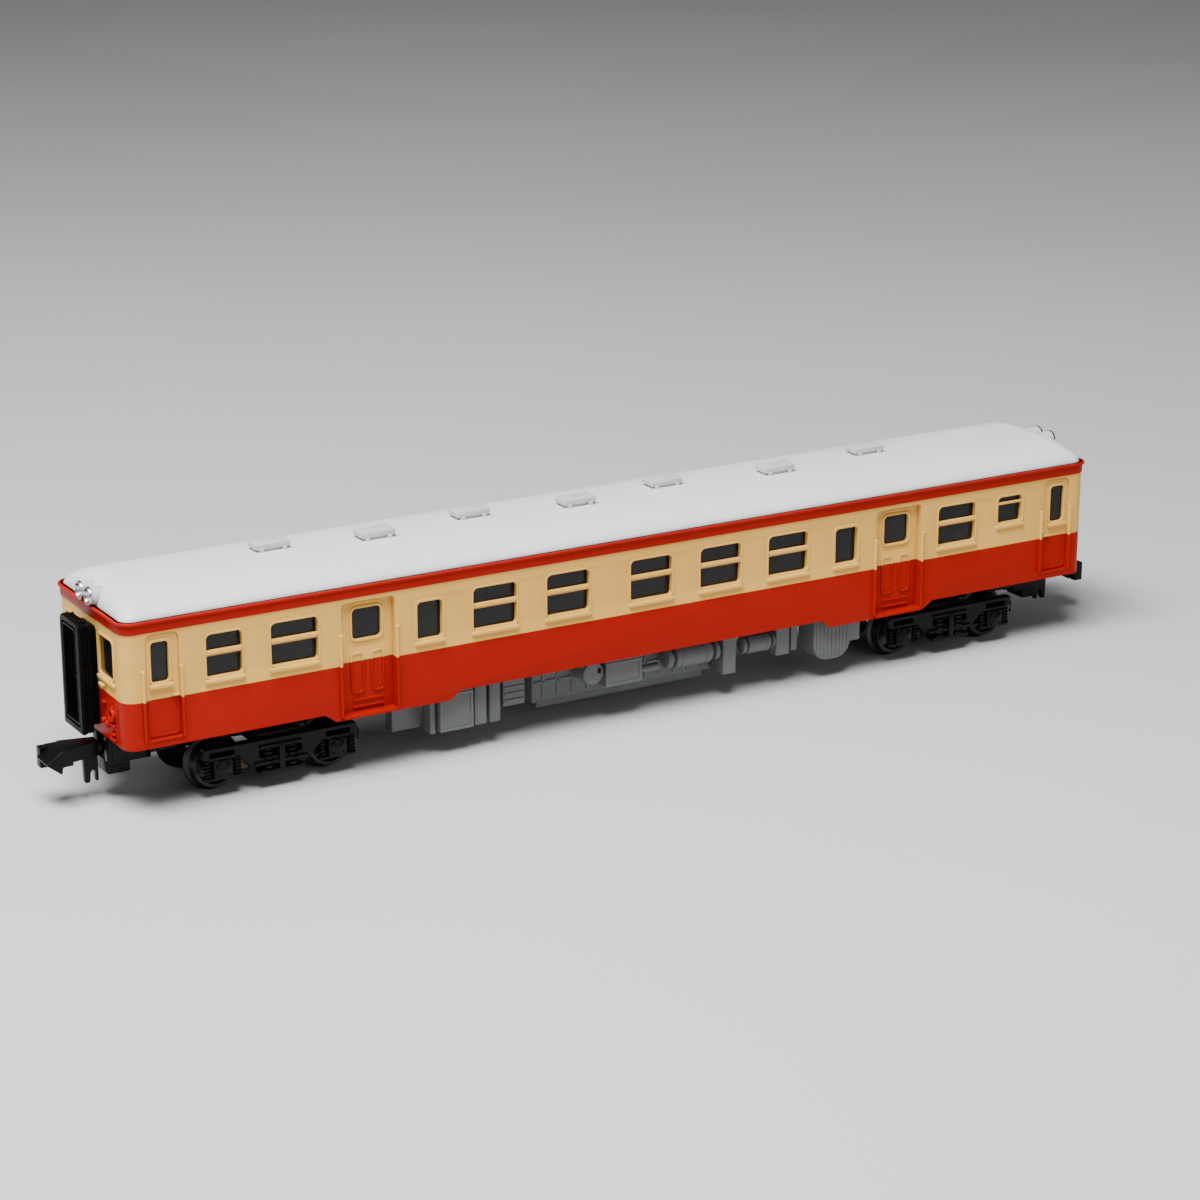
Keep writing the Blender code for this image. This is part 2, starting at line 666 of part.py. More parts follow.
def coupler(suffix, mats, bogie):
    width = HEAD_HALF_WIDTH
    bm = bmesh.new()
    box(bm, (-22.9, -19.0), (-1.0, 1.0), (4.6, 6.4))
    hook = make("coupler_" + suffix, bm, mats["black"], bogie, (COUPLER_X, 0.0, COUPLER_Z))
    members = bmesh.new()
    beak = [(-25.5, 5.05), (-23.75, 3.65), (-23.6, 4.45), (-22.5, 4.5), (-22.5, 6.3), (-23.7, 6.3)]
    prism(members, beak, 'Y', (-width, 1.15))
    box(members, (-25.1, -23.9), (1.05, width), (3.65, 6.05))
    box(members, (-19.3, COUPLER_X), (-0.55, 0.55), (4.95, 5.95))
    rod(members, 'Z', (COUPLER_X, 0.0), 1.3, (4.8, 6.0), 16)
    web = [(-20.5, 1.5), (-19.9, 1.5), (-19.8, 2.7), (-19.3, 2.7), (-19.2, 1.5), (-18.9, 1.5)]
    web += [(-18.95, 4.8), (-20.6, 4.8)]
    prism(members, web, 'Y', (-0.35, 0.35))
    boolean(hook, members, 'UNION', "members")

    bm = bmesh.new()
    spring_x = (COUPLER_X + 1.45, COUPLER_X + 2.15)
    coils, around, wire, radius = 2.5, 10, 0.09, 0.5
    count = int(coils * around)
    rings = []
    for i in range(count + 1):
        angle = math.tau * i / around
        share = i / count
        along = spring_x[0] + wire + share * (spring_x[1] - spring_x[0] - 2 * wire)
        outward = Vector((0.0, math.cos(angle), math.sin(angle)))
        ring = []
        for side in range(6):
            turn = math.tau * side / 6
            offset = outward * (radius + wire * math.cos(turn))
            offset.x += wire * math.sin(turn)
            ring.append(bm.verts.new(offset + Vector((along, 0.0, COUPLER_Z))))
        rings.append(ring)
    bridge(bm, rings, closed_along=False)
    bm.faces.new(rings[0])
    bm.faces.new(reversed(rings[-1]))
    make("coupler_spring_" + suffix, bm, mats["brass"], bogie, (COUPLER_X, 0.0, COUPLER_Z), smooth=True)


def bogie_pin(name, mat, bogie):
    bm = bmesh.new()
    head = [(1.9, 3.65), (1.9, 4.2), (PIN_RADIUS, 4.2), (PIN_RADIUS, FLOOR_TOP - 0.1)]
    profile = [(0.0, 3.65)] + head + [(0.0, FLOOR_TOP - 0.1)]
    turned(bm, profile, 16, closed=False)
    bmesh.ops.rotate(bm, verts=bm.verts, matrix=Matrix.Rotation(math.pi / 2, 3, 'X'))
    make(name, bm, mat, bogie, smooth=True)


def build():
    clear_scene()
    mats = {
        "shell": material("shell_paint", CREAM, 0.42),
        "roof": material("roof_grey", (0.72, 0.74, 0.75), 0.45),
        "clear": material("clear_glazing", (0.75, 0.78, 0.80), 0.08, alpha=0.35),
        "lens": material("clear_lens", (0.85, 0.86, 0.88), 0.05, alpha=0.4),
        "rubber": material("gangway_black", (0.012, 0.012, 0.013), 0.3),
        "silver": material("lamp_silver", (0.62, 0.63, 0.64), 0.3, metallic=0.8),
        "led": material("led_white", (0.85, 0.83, 0.70), 0.4),
        "board": material("circuit_board", (0.03, 0.16, 0.07), 0.45),
        "floor": material("underframe_black", BLACK, 0.5),
        "grey": material("equipment_grey", GREY, 0.55),
        "weight": material("ballast_steel", STEEL, 0.4, metallic=1.0),
        "brass": material("phosphor_bronze", (0.62, 0.40, 0.17), 0.3, metallic=1.0),
        "seat": material("seat_blue", (0.05, 0.10, 0.20), 0.6),
        "black": material("bogie_black", BLACK, 0.42),
        "steel": material("axle_steel", STEEL, 0.3, metallic=1.0),
        "wheel": material("wheel_dark", (0.06, 0.055, 0.05), 0.35, metallic=0.9),
    }
    root = frame_empty("coach", 0.0, 0.0)
    body_shell(mats["shell"], root)
    roof(mats["roof"], root)
    roof_vents(mats["roof"], root)
    glazing_strip("glazing_left", -1, mats["clear"], root)
    glazing_strip("glazing_right", 1, mats["clear"], root)
    underframe(mats["floor"], root)
    equipment(mats["grey"], root)
    ballast(mats["weight"], root)
    contact_strips(mats["brass"], root)
    seats(mats["seat"], root)
    axle_mesh, wheel_mesh = wheelset_meshes(mats)
    for number, (suffix, turn) in enumerate((("front", 0.0), ("rear", math.pi))):
        end = frame_empty(suffix + "_end", 0.0, turn)
        gangway("gangway_" + suffix, mats["rubber"], end)
        headlight("headlight_" + suffix, mats["silver"], end)
        light_unit(suffix, mats, end)
        cab_glazing("cab_glazing_" + suffix, mats["clear"], end)
        facing = -1 if number == 0 else 1
        bogie = frame_empty(suffix + "_bogie", facing * BOGIE_X, turn)
        bogie_frame_mesh(mats["black"], bogie, "bogie_frame_" + suffix)
        bogie_pin("bogie_pin_" + suffix, mats["black"], bogie)
        contact_plate("contact_plate_" + suffix + "_left", mats["brass"], bogie, facing)
        contact_plate("contact_plate_" + suffix + "_right", mats["brass"], bogie, -facing)
        coupler(suffix, mats, bogie)
        for place_x in (-AXLE_X, AXLE_X):
            axle_number = 2 * number + (1 if place_x * -facing < 0 else 2)
            label = str(axle_number)
            spot = frame_empty("wheelset_" + label, 0.0, 0.0)
            spot.parent = bogie
            spot.location = (place_x * MM, 0.0, AXLE_Z * MM)
            place("axle_" + label, axle_mesh, spot, (0.0, 0.0, 0.0))
            for side, word in ((facing, "left"), (-facing, "right")):
                wheel = place("wheel_" + label + "_" + word, wheel_mesh, spot, (0.0, 0.0, 0.0))
                wheel.rotation_euler = (0.0, 0.0, 0.0 if side > 0 else math.pi)
    bpy.context.view_layer.update()


build()
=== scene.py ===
import json
import math

import bmesh
import bpy
from mathutils import Matrix, Vector


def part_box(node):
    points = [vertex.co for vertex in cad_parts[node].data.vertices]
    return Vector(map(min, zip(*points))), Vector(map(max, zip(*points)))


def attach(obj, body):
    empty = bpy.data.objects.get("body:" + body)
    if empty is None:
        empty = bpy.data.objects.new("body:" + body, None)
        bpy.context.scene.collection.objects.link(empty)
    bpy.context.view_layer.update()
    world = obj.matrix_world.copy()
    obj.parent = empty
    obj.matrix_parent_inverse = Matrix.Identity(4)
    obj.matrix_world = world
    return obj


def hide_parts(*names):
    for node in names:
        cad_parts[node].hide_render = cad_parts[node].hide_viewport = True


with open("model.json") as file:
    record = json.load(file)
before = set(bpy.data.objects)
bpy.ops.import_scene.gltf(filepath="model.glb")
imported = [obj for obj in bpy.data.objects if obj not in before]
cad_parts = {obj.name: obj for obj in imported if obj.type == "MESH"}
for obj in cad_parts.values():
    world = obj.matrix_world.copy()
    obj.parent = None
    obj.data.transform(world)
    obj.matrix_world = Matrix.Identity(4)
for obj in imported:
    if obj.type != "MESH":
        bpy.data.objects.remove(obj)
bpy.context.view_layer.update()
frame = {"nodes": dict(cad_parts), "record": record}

# Everything is drawn in millimetres above the rail head and turned into metres by finish_piece.
MM = 0.001
RAIL_HEAD = 0.6
JOINTS = {joint["name"]: joint for joint in frame["record"]["behaviour"]["joints"]}


def box_mm(node):
    """Lowest and highest corner of a CAD node, in millimetres above the rail head."""
    low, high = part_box(node)
    low = Vector(low) / MM - Vector((0.0, 0.0, RAIL_HEAD))
    high = Vector(high) / MM - Vector((0.0, 0.0, RAIL_HEAD))
    return low, high


# ---- driving dimensions; the CAD sizes come from the frame ----
GUTTER_PROUD = 0.35
WALL = 0.8
CORNER = 1.5
shell_low, shell_high = box_mm("body_shell")
HALF_LENGTH = shell_high.x - GUTTER_PROUD
HALF_WIDTH = shell_high.y - GUTTER_PROUD
GUTTER_TOP = shell_high.z
SILL_DOOR = shell_low.z
SILL_END = SILL_DOOR + 1.0
GUTTER_LOW = GUTTER_TOP - 1.37
BAND_PROUD = 0.13
LIP_PROUD = 0.36
LIP_INNER = -0.6
LIP_DEPTH = 0.34
PAINT_SPLIT = 13.06
SILL_STEPS = ((-41.4, -40.0, -25.6, -24.3), (25.1, 26.4, 40.1, 41.8))
BOGIE_X = JOINTS["bogie_rear_swivel"]["pos_m"][0] / MM
AXLE_X = 7.0
AXLE_Z = JOINTS["wheelset_1_spin"]["pos_m"][2] / MM - RAIL_HEAD

# ---- side layout: a window is (centre x, width), a pane adds (low z, top z) ----
GLASS = (14.40, 19.44)
BARRED = [(-53.25, 4.3), (-44.85, 5.7), (-19.79, 5.65), (-10.22, 5.65), (0.96, 5.65),
          (10.53, 5.65), (20.10, 5.65), (45.02, 5.65)]
NARROW = [(-28.15, 3.2), (28.52, 3.25)]
NARROW_GLASS = (14.40, 18.92)
SERVICE_WINDOW = (53.15, 3.7, 15.9, 19.36)
FAR_END_WINDOW = (53.25, 4.3, *GLASS)
DOORS = (-35.8, 36.3)
DOOR_HALF = 3.3
DOOR_Z = (7.1, 20.3)
DOOR_PANE = (3.6, 15.6, 19.2)
LEAF_SHIFT = 0.1
DOOR_DEPTH = 0.85
CREW_DOORS = (-60.45, 60.45)
CREW_HALF = 1.95
CREW_Z = (8.6, 20.5)
CREW_PANE = (60.7, 2.1, 14.95, 19.55)
CREW_DEPTH = 0.3
END_PANE_Y = (2.6, 6.7)
END_PANE_Z = (14.95, 19.45)
END_PANE_MIDDLE = (END_PANE_Y[0] + END_PANE_Y[1]) / 2
END_PANE_WIDTH = END_PANE_Y[1] - END_PANE_Y[0]
BAR_Z = (16.94, 17.6)
SERVICE_BAR_Z = (18.33, 18.68)
BARRED_RADIUS = 0.6
NARROW_RADIUS = 0.5
DOOR_PANE_RADIUS = 0.55
CREW_PANE_RADIUS = 0.45


# ---- mesh helpers ----
def rounded(a0, a1, b0, b1, top, bottom=None, steps=5):
    """A rectangle with arcs of radius top at its upper corners and bottom at its lower ones."""
    bottom = top if bottom is None else bottom
    points = []
    corners = [(a1, b0, -1, 1, bottom, -90), (a1, b1, -1, -1, top, 0),
               (a0, b1, 1, -1, top, 90), (a0, b0, 1, 1, bottom, 180)]
    for a, b, inward_a, inward_b, radius, start in corners:
        if radius <= 0.0:
            points.append((a, b))
            continue
        for step in range(steps + 1):
            angle = math.radians(start + 90.0 * step / steps)
            points.append((a + inward_a * radius + radius * math.cos(angle),
                           b + inward_b * radius + radius * math.sin(angle)))
    return points


def grown(pane, by, radius):
    """The outline of an opening (centre, width, low, top), grown by a margin."""
    x, width, low, top = pane
    half = width / 2 + by
    return rounded(x - half, x + half, low - by, top + by, max(radius + by, 0.05))


def slab(outlines, low, high, edge=0.05, rounds=2):
    """A plate in (a, b, depth) with rounded edges; nested outlines are holes."""
    curve = bpy.data.curves.new("slab", 'CURVE')
    curve.dimensions = '2D'
    curve.fill_mode = 'BOTH'
    curve.bevel_depth = edge
    curve.bevel_resolution = rounds
    curve.offset = -edge
    curve.extrude = max((high - low) / 2 - edge, 0.0001)
    for outline in outlines:
        spline = curve.splines.new('POLY')
        spline.points.add(len(outline) - 1)
        for point, (a, b) in zip(spline.points, outline):
            point.co = (a, b, 0.0, 1.0)
        spline.use_cyclic_u = True
    holder = bpy.data.objects.new("slab", curve)
    bpy.context.collection.objects.link(holder)
    bpy.context.view_layer.update()
    mesh = bpy.data.meshes.new_from_object(holder.evaluated_get(bpy.context.evaluated_depsgraph_get()))
    bm = bmesh.new()
    bm.from_mesh(mesh)
    bpy.data.objects.remove(holder)
    bpy.data.curves.remove(curve)
    bpy.data.meshes.remove(mesh)
    bmesh.ops.remove_doubles(bm, verts=bm.verts, dist=0.002)
    bmesh.ops.translate(bm, vec=(0.0, 0.0, (low + high) / 2), verts=bm.verts)
    bmesh.ops.recalc_face_normals(bm, faces=bm.faces)
    return bm


def add(target, source, place):
    """Copy source into target with every vertex moved by place, keeping its faces outward."""
    probe = [Vector(place(p)) for p in ((0, 0, 0), (0.01, 0, 0), (0, 0.01, 0), (0, 0, 0.01))]
    axes = [p - probe[0] for p in probe[1:]]
    flipped = axes[0].cross(axes[1]).dot(axes[2]) < 0
    made = {v: target.verts.new(place(v.co)) for v in source.verts}
    for face in source.faces:
        corners = [made[v] for v in face.verts]
        if flipped:
            corners.reverse()
        target.faces.new(corners)
    source.free()


def block(bm, x, y, z, edge=0.08, rounds=2):
    """A box over the pairs x, y and z with rounded edges."""
    part = bmesh.new()
    bmesh.ops.create_cube(part, size=1.0)
    size = (abs(x[1] - x[0]), abs(y[1] - y[0]), abs(z[1] - z[0]))
    bmesh.ops.scale(part, vec=size, verts=part.verts)
    limit = min(min(size) * 0.45, edge)
    bmesh.ops.bevel(part, geom=part.edges[:], offset=limit, segments=rounds, affect='EDGES', profile=0.5)
    middle = ((x[0] + x[1]) / 2, (y[0] + y[1]) / 2, (z[0] + z[1]) / 2)
    bmesh.ops.translate(part, vec=middle, verts=part.verts)
    add(bm, part, tuple)


def blocks(bm, rows):
    """Several boxes, each a row of x, y and z pairs with its edge and rounds where they differ."""
    for row in rows:
        block(bm, row[0:2], row[2:4], row[4:6], *row[6:])


def turned(bm, profile, axis, centre, sides=32):
    """Spin (radius, along) points round an axis through centre; ends at radius 0 are closed."""
    def spot(radius, along, angle):
        c, s = radius * math.cos(angle), radius * math.sin(angle)
        if axis == 'X':
            return (centre[0] + along, centre[1] + c, centre[2] + s)
        if axis == 'Y':
            return (centre[0] + s, centre[1] + along, centre[2] + c)
        return (centre[0] + c, centre[1] + s, centre[2] + along)

    part = bmesh.new()
    rings = []
    for radius, along in profile:
        count = sides if radius > 0.0 else 1
        rings.append([part.verts.new(spot(radius, along, math.tau * i / sides)) for i in range(count)])
    for first, second in zip(rings, rings[1:]):
        for i in range(sides):
            j = (i + 1) % sides
            corners = [first[i % len(first)], first[j % len(first)]]
            corners += [second[j % len(second)], second[i % len(second)]]
            unique = list(dict.fromkeys(corners))
            if len(unique) > 2:
                part.faces.new(unique)
    bmesh.ops.recalc_face_normals(part, faces=part.faces)
    add(bm, part, tuple)


def pipe(bm, points, radius, sides=8):
    """A round bar along points, closed at both ends."""
    part = bmesh.new()
    rings = []
    points = [Vector(p) for p in points]
    for i, point in enumerate(points):
        ahead = points[min(i + 1, len(points) - 1)] - points[max(i - 1, 0)]
        ahead.normalize()
        side = ahead.cross(Vector((0.0, 0.0, 1.0)))
        if side.length < 0.1:
            side = ahead.cross(Vector((1.0, 0.0, 0.0)))
        side.normalize()
        up = side.cross(ahead)
        ring = []
        for k in range(sides):
            angle = math.tau * k / sides
            offset = side * radius * math.cos(angle) + up * radius * math.sin(angle)
            ring.append(part.verts.new(point + offset))
        rings.append(ring)
    for first, second in zip(rings, rings[1:]):
        for i in range(sides):
            j = (i + 1) % sides
            part.faces.new((first[i], first[j], second[j], second[i]))
    part.faces.new(rings[0])
    part.faces.new(reversed(rings[-1]))
    bmesh.ops.recalc_face_normals(part, faces=part.faces)
    add(bm, part, tuple)


def coil(bm, centre, radius, wire, height, turns):
    """An upright coil spring that starts at centre and rises by height."""
    steps_per_turn = 14
    count = int(turns * steps_per_turn)
    points = []
    for i in range(count + 1):
        angle = math.tau * turns * i / count
        points.append((centre[0] + radius * math.cos(angle), centre[1] + radius * math.sin(angle),
                       centre[2] + height * i / count))
    pipe(bm, points, wire, 6)


def circle(y, z, radius, count=20):
    """A round outline in the end wall's plane."""
    return [(y + radius * math.cos(math.tau * i / count), z + radius * math.sin(math.tau * i / count))
            for i in range(count)]


def to_side(point):
    """(x, z, y) as drawn on a side view, to (x, y, z)."""
    return (point[0], point[2], point[1])


def to_end(point):
    """(y, z, x) as drawn on an end view, to (x, y, z)."""
    return (point[2], point[0], point[1])


def finish_piece(name, bm, mat, body, nodes, turn=None, sharp=38):
    """Turn bm into an object in metres that rides on body and stands for the CAD nodes."""
    if turn is not None:
        bmesh.ops.transform(bm, matrix=turn, verts=bm.verts)
    bmesh.ops.translate(bm, vec=(0.0, 0.0, RAIL_HEAD), verts=bm.verts)
    bmesh.ops.scale(bm, vec=(MM, MM, MM), verts=bm.verts)
    mesh = bpy.data.meshes.new(name)
    bm.to_mesh(mesh)
    bm.free()
    mesh.shade_smooth()
    mesh.set_sharp_from_angle(angle=math.radians(sharp))
    mesh.materials.append(mat)
    obj = bpy.data.objects.new(name, mesh)
    bpy.context.collection.objects.link(obj)
    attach(obj, body)
    if nodes:
        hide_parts(*nodes)
    return obj


END_TURNS = {"front": Matrix.Identity(4), "rear": Matrix.Rotation(math.pi, 4, 'Z')}
BOGIE_TURNS = {
    "front": Matrix.Translation((-BOGIE_X, 0.0, 0.0)),
    "rear": Matrix.Translation((BOGIE_X, 0.0, 0.0)) @ Matrix.Rotation(math.pi, 4, 'Z'),
}


# ---- materials ----
class Nodes:
    """A material's node tree with short calls for the nodes used here."""

    def __init__(self, name):
        self.mat = bpy.data.materials.new(name)
        self.mat.use_nodes = True
        self.tree = self.mat.node_tree
        self.shader = self.tree.nodes["Principled BSDF"]
        self.coords = self.tree.nodes.new("ShaderNodeTexCoord").outputs["Object"]

    def link(self, a, b):
        self.tree.links.new(a, b)

    def noise(self, scale, detail=3.0, rough=0.5, stretch=(1.0, 1.0, 1.0)):
        mapping = self.tree.nodes.new("ShaderNodeMapping")
        mapping.inputs["Scale"].default_value = stretch
        node = self.tree.nodes.new("ShaderNodeTexNoise")
        node.inputs["Scale"].default_value = scale
        node.inputs["Detail"].default_value = detail
        node.inputs["Roughness"].default_value = rough
        self.link(self.coords, mapping.inputs["Vector"])
        self.link(mapping.outputs["Vector"], node.inputs["Vector"])
        return node.outputs["Fac"]

    def spread(self, value, low, high, start=0.3, end=0.7):
        node = self.tree.nodes.new("ShaderNodeMapRange")
        node.inputs["From Min"].default_value = start
        node.inputs["From Max"].default_value = end
        node.inputs["To Min"].default_value = low
        node.inputs["To Max"].default_value = high
        self.link(value, node.inputs["Value"])
        return node.outputs["Result"]

    def mix(self, factor, first, second):
        node = self.tree.nodes.new("ShaderNodeMix")
        node.data_type = 'RGBA'
        for socket, value in ((0, factor), (6, first), (7, second)):
            if isinstance(value, bpy.types.NodeSocket):
                self.link(value, node.inputs[socket])
            elif socket == 0:
                node.inputs[0].default_value = value
            else:
                node.inputs[socket].default_value = (*value, 1.0)
        return node.outputs[2]

    def bump(self, height, strength, distance):
        node = self.tree.nodes.new("ShaderNodeBump")
        node.inputs["Strength"].default_value = strength
        node.inputs["Distance"].default_value = distance
        self.link(height, node.inputs["Height"])
        self.link(node.outputs["Normal"], self.shader.inputs["Normal"])

    def above(self, height_mm, soft=0.02):
        """1 above a height over the rail head, 0 below it."""
        split = self.tree.nodes.new("ShaderNodeSeparateXYZ")
        self.link(self.coords, split.inputs["Vector"])
        level = (height_mm + RAIL_HEAD) * MM
        return self.spread(split.outputs["Z"], 0.0, 1.0, level - soft * MM, level + soft * MM)


def plain(name, dark, light, roughness, metallic=0.0, grain=900.0, bump=0.25, gloss=0.5,
          stretch=(1, 1, 1)):
    """Plastic or metal: a tone that drifts slowly, a fine grain, uneven gloss and a light relief."""
    n = Nodes(name)
    drift = n.spread(n.noise(90.0, 4.0, 0.55, stretch), 0.0, 1.0)
    fine = n.noise(grain, 3.0, 0.6, stretch)
    n.link(n.mix(drift, dark, light), n.shader.inputs["Base Color"])
    n.link(n.spread(fine, roughness * 0.85, roughness * 1.2), n.shader.inputs["Roughness"])
    n.shader.inputs["Metallic"].default_value = metallic
    n.shader.inputs["Specular IOR Level"].default_value = gloss
    n.bump(fine, bump, 0.00002)
    return n.mat


def two_tone_paint():
    """Cream between the waist and the gutter, red above and below, in satin paint."""
    n = Nodes("two_tone_paint")
    drift = n.spread(n.noise(45.0, 4.0, 0.5), 0.0, 1.0)
    cream = n.mix(drift, (0.67, 0.370, 0.076), (0.73, 0.420, 0.095))
    red = n.mix(drift, (0.29, 0.0035, 0.0003), (0.335, 0.0045, 0.0004))
    band = n.mix(n.above(PAINT_SPLIT), red, cream)
    n.link(n.mix(n.above(GUTTER_LOW - 0.03), band, red), n.shader.inputs["Base Color"])
    peel = n.noise(1500.0, 2.0, 0.5)
    n.link(n.spread(peel, 0.30, 0.40), n.shader.inputs["Roughness"])
    n.shader.inputs["Specular IOR Level"].default_value = 0.1
    n.bump(peel, 0.15, 0.00001)
    return n.mat


def glazing_material(name, tint, alpha):
    """Clear plastic with faint smears; alpha sets how much of the inside shows, the rest being the tint, so
    a dark tint paints shade on the pane.
    """
    n = Nodes(name)
    smear = n.noise(160.0, 4.0, 0.6)
    paler = tuple(c * 1.35 for c in tint)
    n.link(n.mix(n.spread(smear, 0.0, 1.0), tint, paler), n.shader.inputs["Base Color"])
    n.link(n.spread(smear, 0.05, 0.16), n.shader.inputs["Roughness"])
    n.shader.inputs["Alpha"].default_value = alpha
    n.shader.inputs["IOR"].default_value = 1.49
    n.shader.inputs["Specular IOR Level"].default_value = 0.3
    n.bump(n.noise(60.0, 2.0, 0.5), 0.2, 0.00003)
    return n.mat


def board_material():
    """Green solder mask with paler copper runs under it."""
    n = Nodes("circuit_board")
    brick = n.tree.nodes.new("ShaderNodeTexBrick")
    brick.inputs["Scale"].default_value = 420.0
    brick.inputs["Mortar Size"].default_value = 0.03
    brick.inputs["Color1"].default_value = (0.010, 0.085, 0.030, 1.0)
    brick.inputs["Color2"].default_value = (0.012, 0.100, 0.036, 1.0)
    brick.inputs["Mortar"].default_value = (0.05, 0.20, 0.07, 1.0)
    n.link(n.coords, brick.inputs["Vector"])
    n.link(brick.outputs["Color"], n.shader.inputs["Base Color"])
    n.link(n.spread(n.noise(900.0), 0.3, 0.45), n.shader.inputs["Roughness"])
    return n.mat


MATS = {
    "shell": two_tone_paint(),
    "roof": plain("roof_grey_paint", (0.62, 0.64, 0.655), (0.66, 0.68, 0.69), 0.38, grain=1100.0, bump=0.2),
    "vent": plain("vent_grey", (0.44, 0.45, 0.455), (0.50, 0.51, 0.515), 0.42, grain=1300.0),
    # Painted shade: the clear window glazing gets a near-black tint at alpha 0.82, a dark sheet that stands
    # for the shaded inside of the coach.
    "glass": glazing_material("window_glazing_painted_shade", (0.008, 0.0075, 0.007), 0.82),
    "lens": glazing_material("lamp_lens", (0.80, 0.81, 0.82), 0.18),
    "gangway": plain("gangway_black", (0.001, 0.001, 0.001), (0.003, 0.003, 0.003), 0.25,
                     grain=700.0, gloss=0.04),
    "silver": plain("lamp_silver", (0.50, 0.51, 0.52), (0.66, 0.67, 0.68), 0.24, metallic=1.0),
    "black": plain("bogie_black", (0.002, 0.002, 0.0025), (0.005, 0.005, 0.0055), 0.3,
                   grain=1500.0, bump=0.4, gloss=0.12),
    "floor": plain("underframe_black", (0.003, 0.003, 0.003), (0.007, 0.007, 0.007), 0.5, gloss=0.2),
    "grey": plain("equipment_grey", (0.085, 0.092, 0.090), (0.110, 0.118, 0.115), 0.45,
                  grain=1400.0, bump=0.35, gloss=0.3),
    "steel": plain("turned_steel", (0.40, 0.40, 0.41), (0.55, 0.55, 0.56), 0.28, metallic=1.0,
                   stretch=(1, 9, 1)),
    "tread": plain("blackened_wheel", (0.012, 0.011, 0.010), (0.030, 0.027, 0.024), 0.34, metallic=0.7),
    "bronze": plain("phosphor_bronze", (0.50, 0.31, 0.13), (0.62, 0.41, 0.19), 0.27, metallic=1.0,
                    stretch=(9, 1, 1)),
    "tarnished": plain("tarnished_bronze", (0.030, 0.022, 0.014), (0.060, 0.042, 0.024), 0.4,
                       metallic=0.9),
    "ballast": plain("rolled_steel", (0.30, 0.30, 0.31), (0.42, 0.42, 0.43), 0.4, metallic=1.0,
                     stretch=(1, 8, 1)),
    "seat": plain("seat_moulding", (0.020, 0.040, 0.075), (0.032, 0.058, 0.100), 0.55),
    "led": plain("led_phosphor", (0.72, 0.66, 0.40), (0.84, 0.80, 0.60), 0.4),
    "board": board_material(),
}


# ---- body shell ----
def wall_path():
    """Straight and round stretches of the wall's outline, from the rear end's middle round by +Y."""
    flat_end = HALF_WIDTH - CORNER
    flat_side = 2 * (HALF_LENGTH - CORNER)
    arc = math.pi / 2 * CORNER
    return [flat_end, arc, flat_side, arc, 2 * flat_end, arc, flat_side, arc, flat_end]


PATH = wall_path()
PATH_LENGTH = sum(PATH)


def wrap(point):
    """(distance round the wall, height, depth outward) to a place on the body."""
    along, z, out = point
    x0, y0 = HALF_LENGTH - CORNER, HALF_WIDTH - CORNER
    starts = [sum(PATH[:i]) for i in range(len(PATH))]
    index = max(i for i, start in enumerate(starts) if along >= start - 1e-9 or i == 0)
    rest = along - starts[index]
    straights = {0: (HALF_LENGTH, 0.0, 0.0, 1.0), 2: (x0, HALF_WIDTH, -1.0, 0.0),
                 4: (-HALF_LENGTH, y0, 0.0, -1.0), 6: (-x0, -HALF_WIDTH, 1.0, 0.0),
                 8: (HALF_LENGTH, -y0, 0.0, 1.0)}
    if index in straights:
        x, y, dx, dy = straights[index]
        return (x + dx * rest + dy * out, y + dy * rest - dx * out, z)
    centre = {1: (x0, y0), 3: (-x0, y0), 5: (-x0, -y0), 7: (x0, -y0)}[index]
    angle = math.pi / 2 * (index - 1) / 2 + rest / CORNER
    radius = CORNER + out
    return (centre[0] + radius * math.cos(angle), centre[1] + radius * math.sin(angle), z)


def along_side(side, x):
    """Distance round the wall of a place at x on the near (-1) or far (1) side."""
    start = sum(PATH[:6]) if side < 0 else sum(PATH[:2])
    return start + (x if side < 0 else -x) + HALF_LENGTH - CORNER


def along_end(end, y):
    """Distance round the wall of a place at y on the front (-1) or rear (1) end."""
    if end < 0:
        return sum(PATH[:4]) + HALF_WIDTH - CORNER - y
    return y if y > 0 else PATH_LENGTH + y


def barred_windows(side):
    """Panes of the wide windows with a bar; the far side has one more at its end."""
    return [(x, width, *GLASS) for x, width in BARRED] + ([] if side < 0 else [FAR_END_WINDOW])


def narrow_windows():
    """Panes of the narrow windows beside the doors."""
    return [(x, width, *NARROW_GLASS) for x, width in NARROW]


def at_side(side, pane):
    """A pane of one side, moved to its place along the unrolled wall."""
    return (along_side(side, pane[0]), *pane[1:])


def crew_pane(x):
    """The pane of the crew door at x; it sits a little outward of the door's middle."""
    return (math.copysign(CREW_PANE[0], x), *CREW_PANE[1:])


def cut_corners(bm):
    """Split the flat wall at the corner stretches, so that it can bend there."""
    for index in (1, 3, 5, 7):
        start = sum(PATH[:index])
        for step in range(9):
            place = start + PATH[index] * step / 8
            bmesh.ops.bisect_plane(bm, geom=bm.verts[:] + bm.edges[:] + bm.faces[:],
                                   plane_co=(place, 0.0, 0.0), plane_no=(1.0, 0.0, 0.0), dist=1e-5)


def wrapped(bm, outlines, low, high, edge, rounds=2):
    """A slab drawn on the unrolled wall and bent round the body."""
    part = slab(outlines, low, high, edge, rounds)
    cut_corners(part)
    add(bm, part, wrap)


def wall_outline():
    """The whole wall unrolled, with its sills lower under the doors."""
    points = [(0.0, SILL_END)]
    for side in (1, -1):
        steps = []
        for a, b, c, d in SILL_STEPS:
            steps += [(a, SILL_END), (b, SILL_DOOR), (c, SILL_DOOR), (d, SILL_END)]
        steps.sort(key=lambda step: -step[0] * side)
        points += [(along_side(side, x), z) for x, z in steps]
    return points + [(PATH_LENGTH, SILL_END), (PATH_LENGTH, GUTTER_TOP - 0.1), (0.0, GUTTER_TOP - 0.1)]


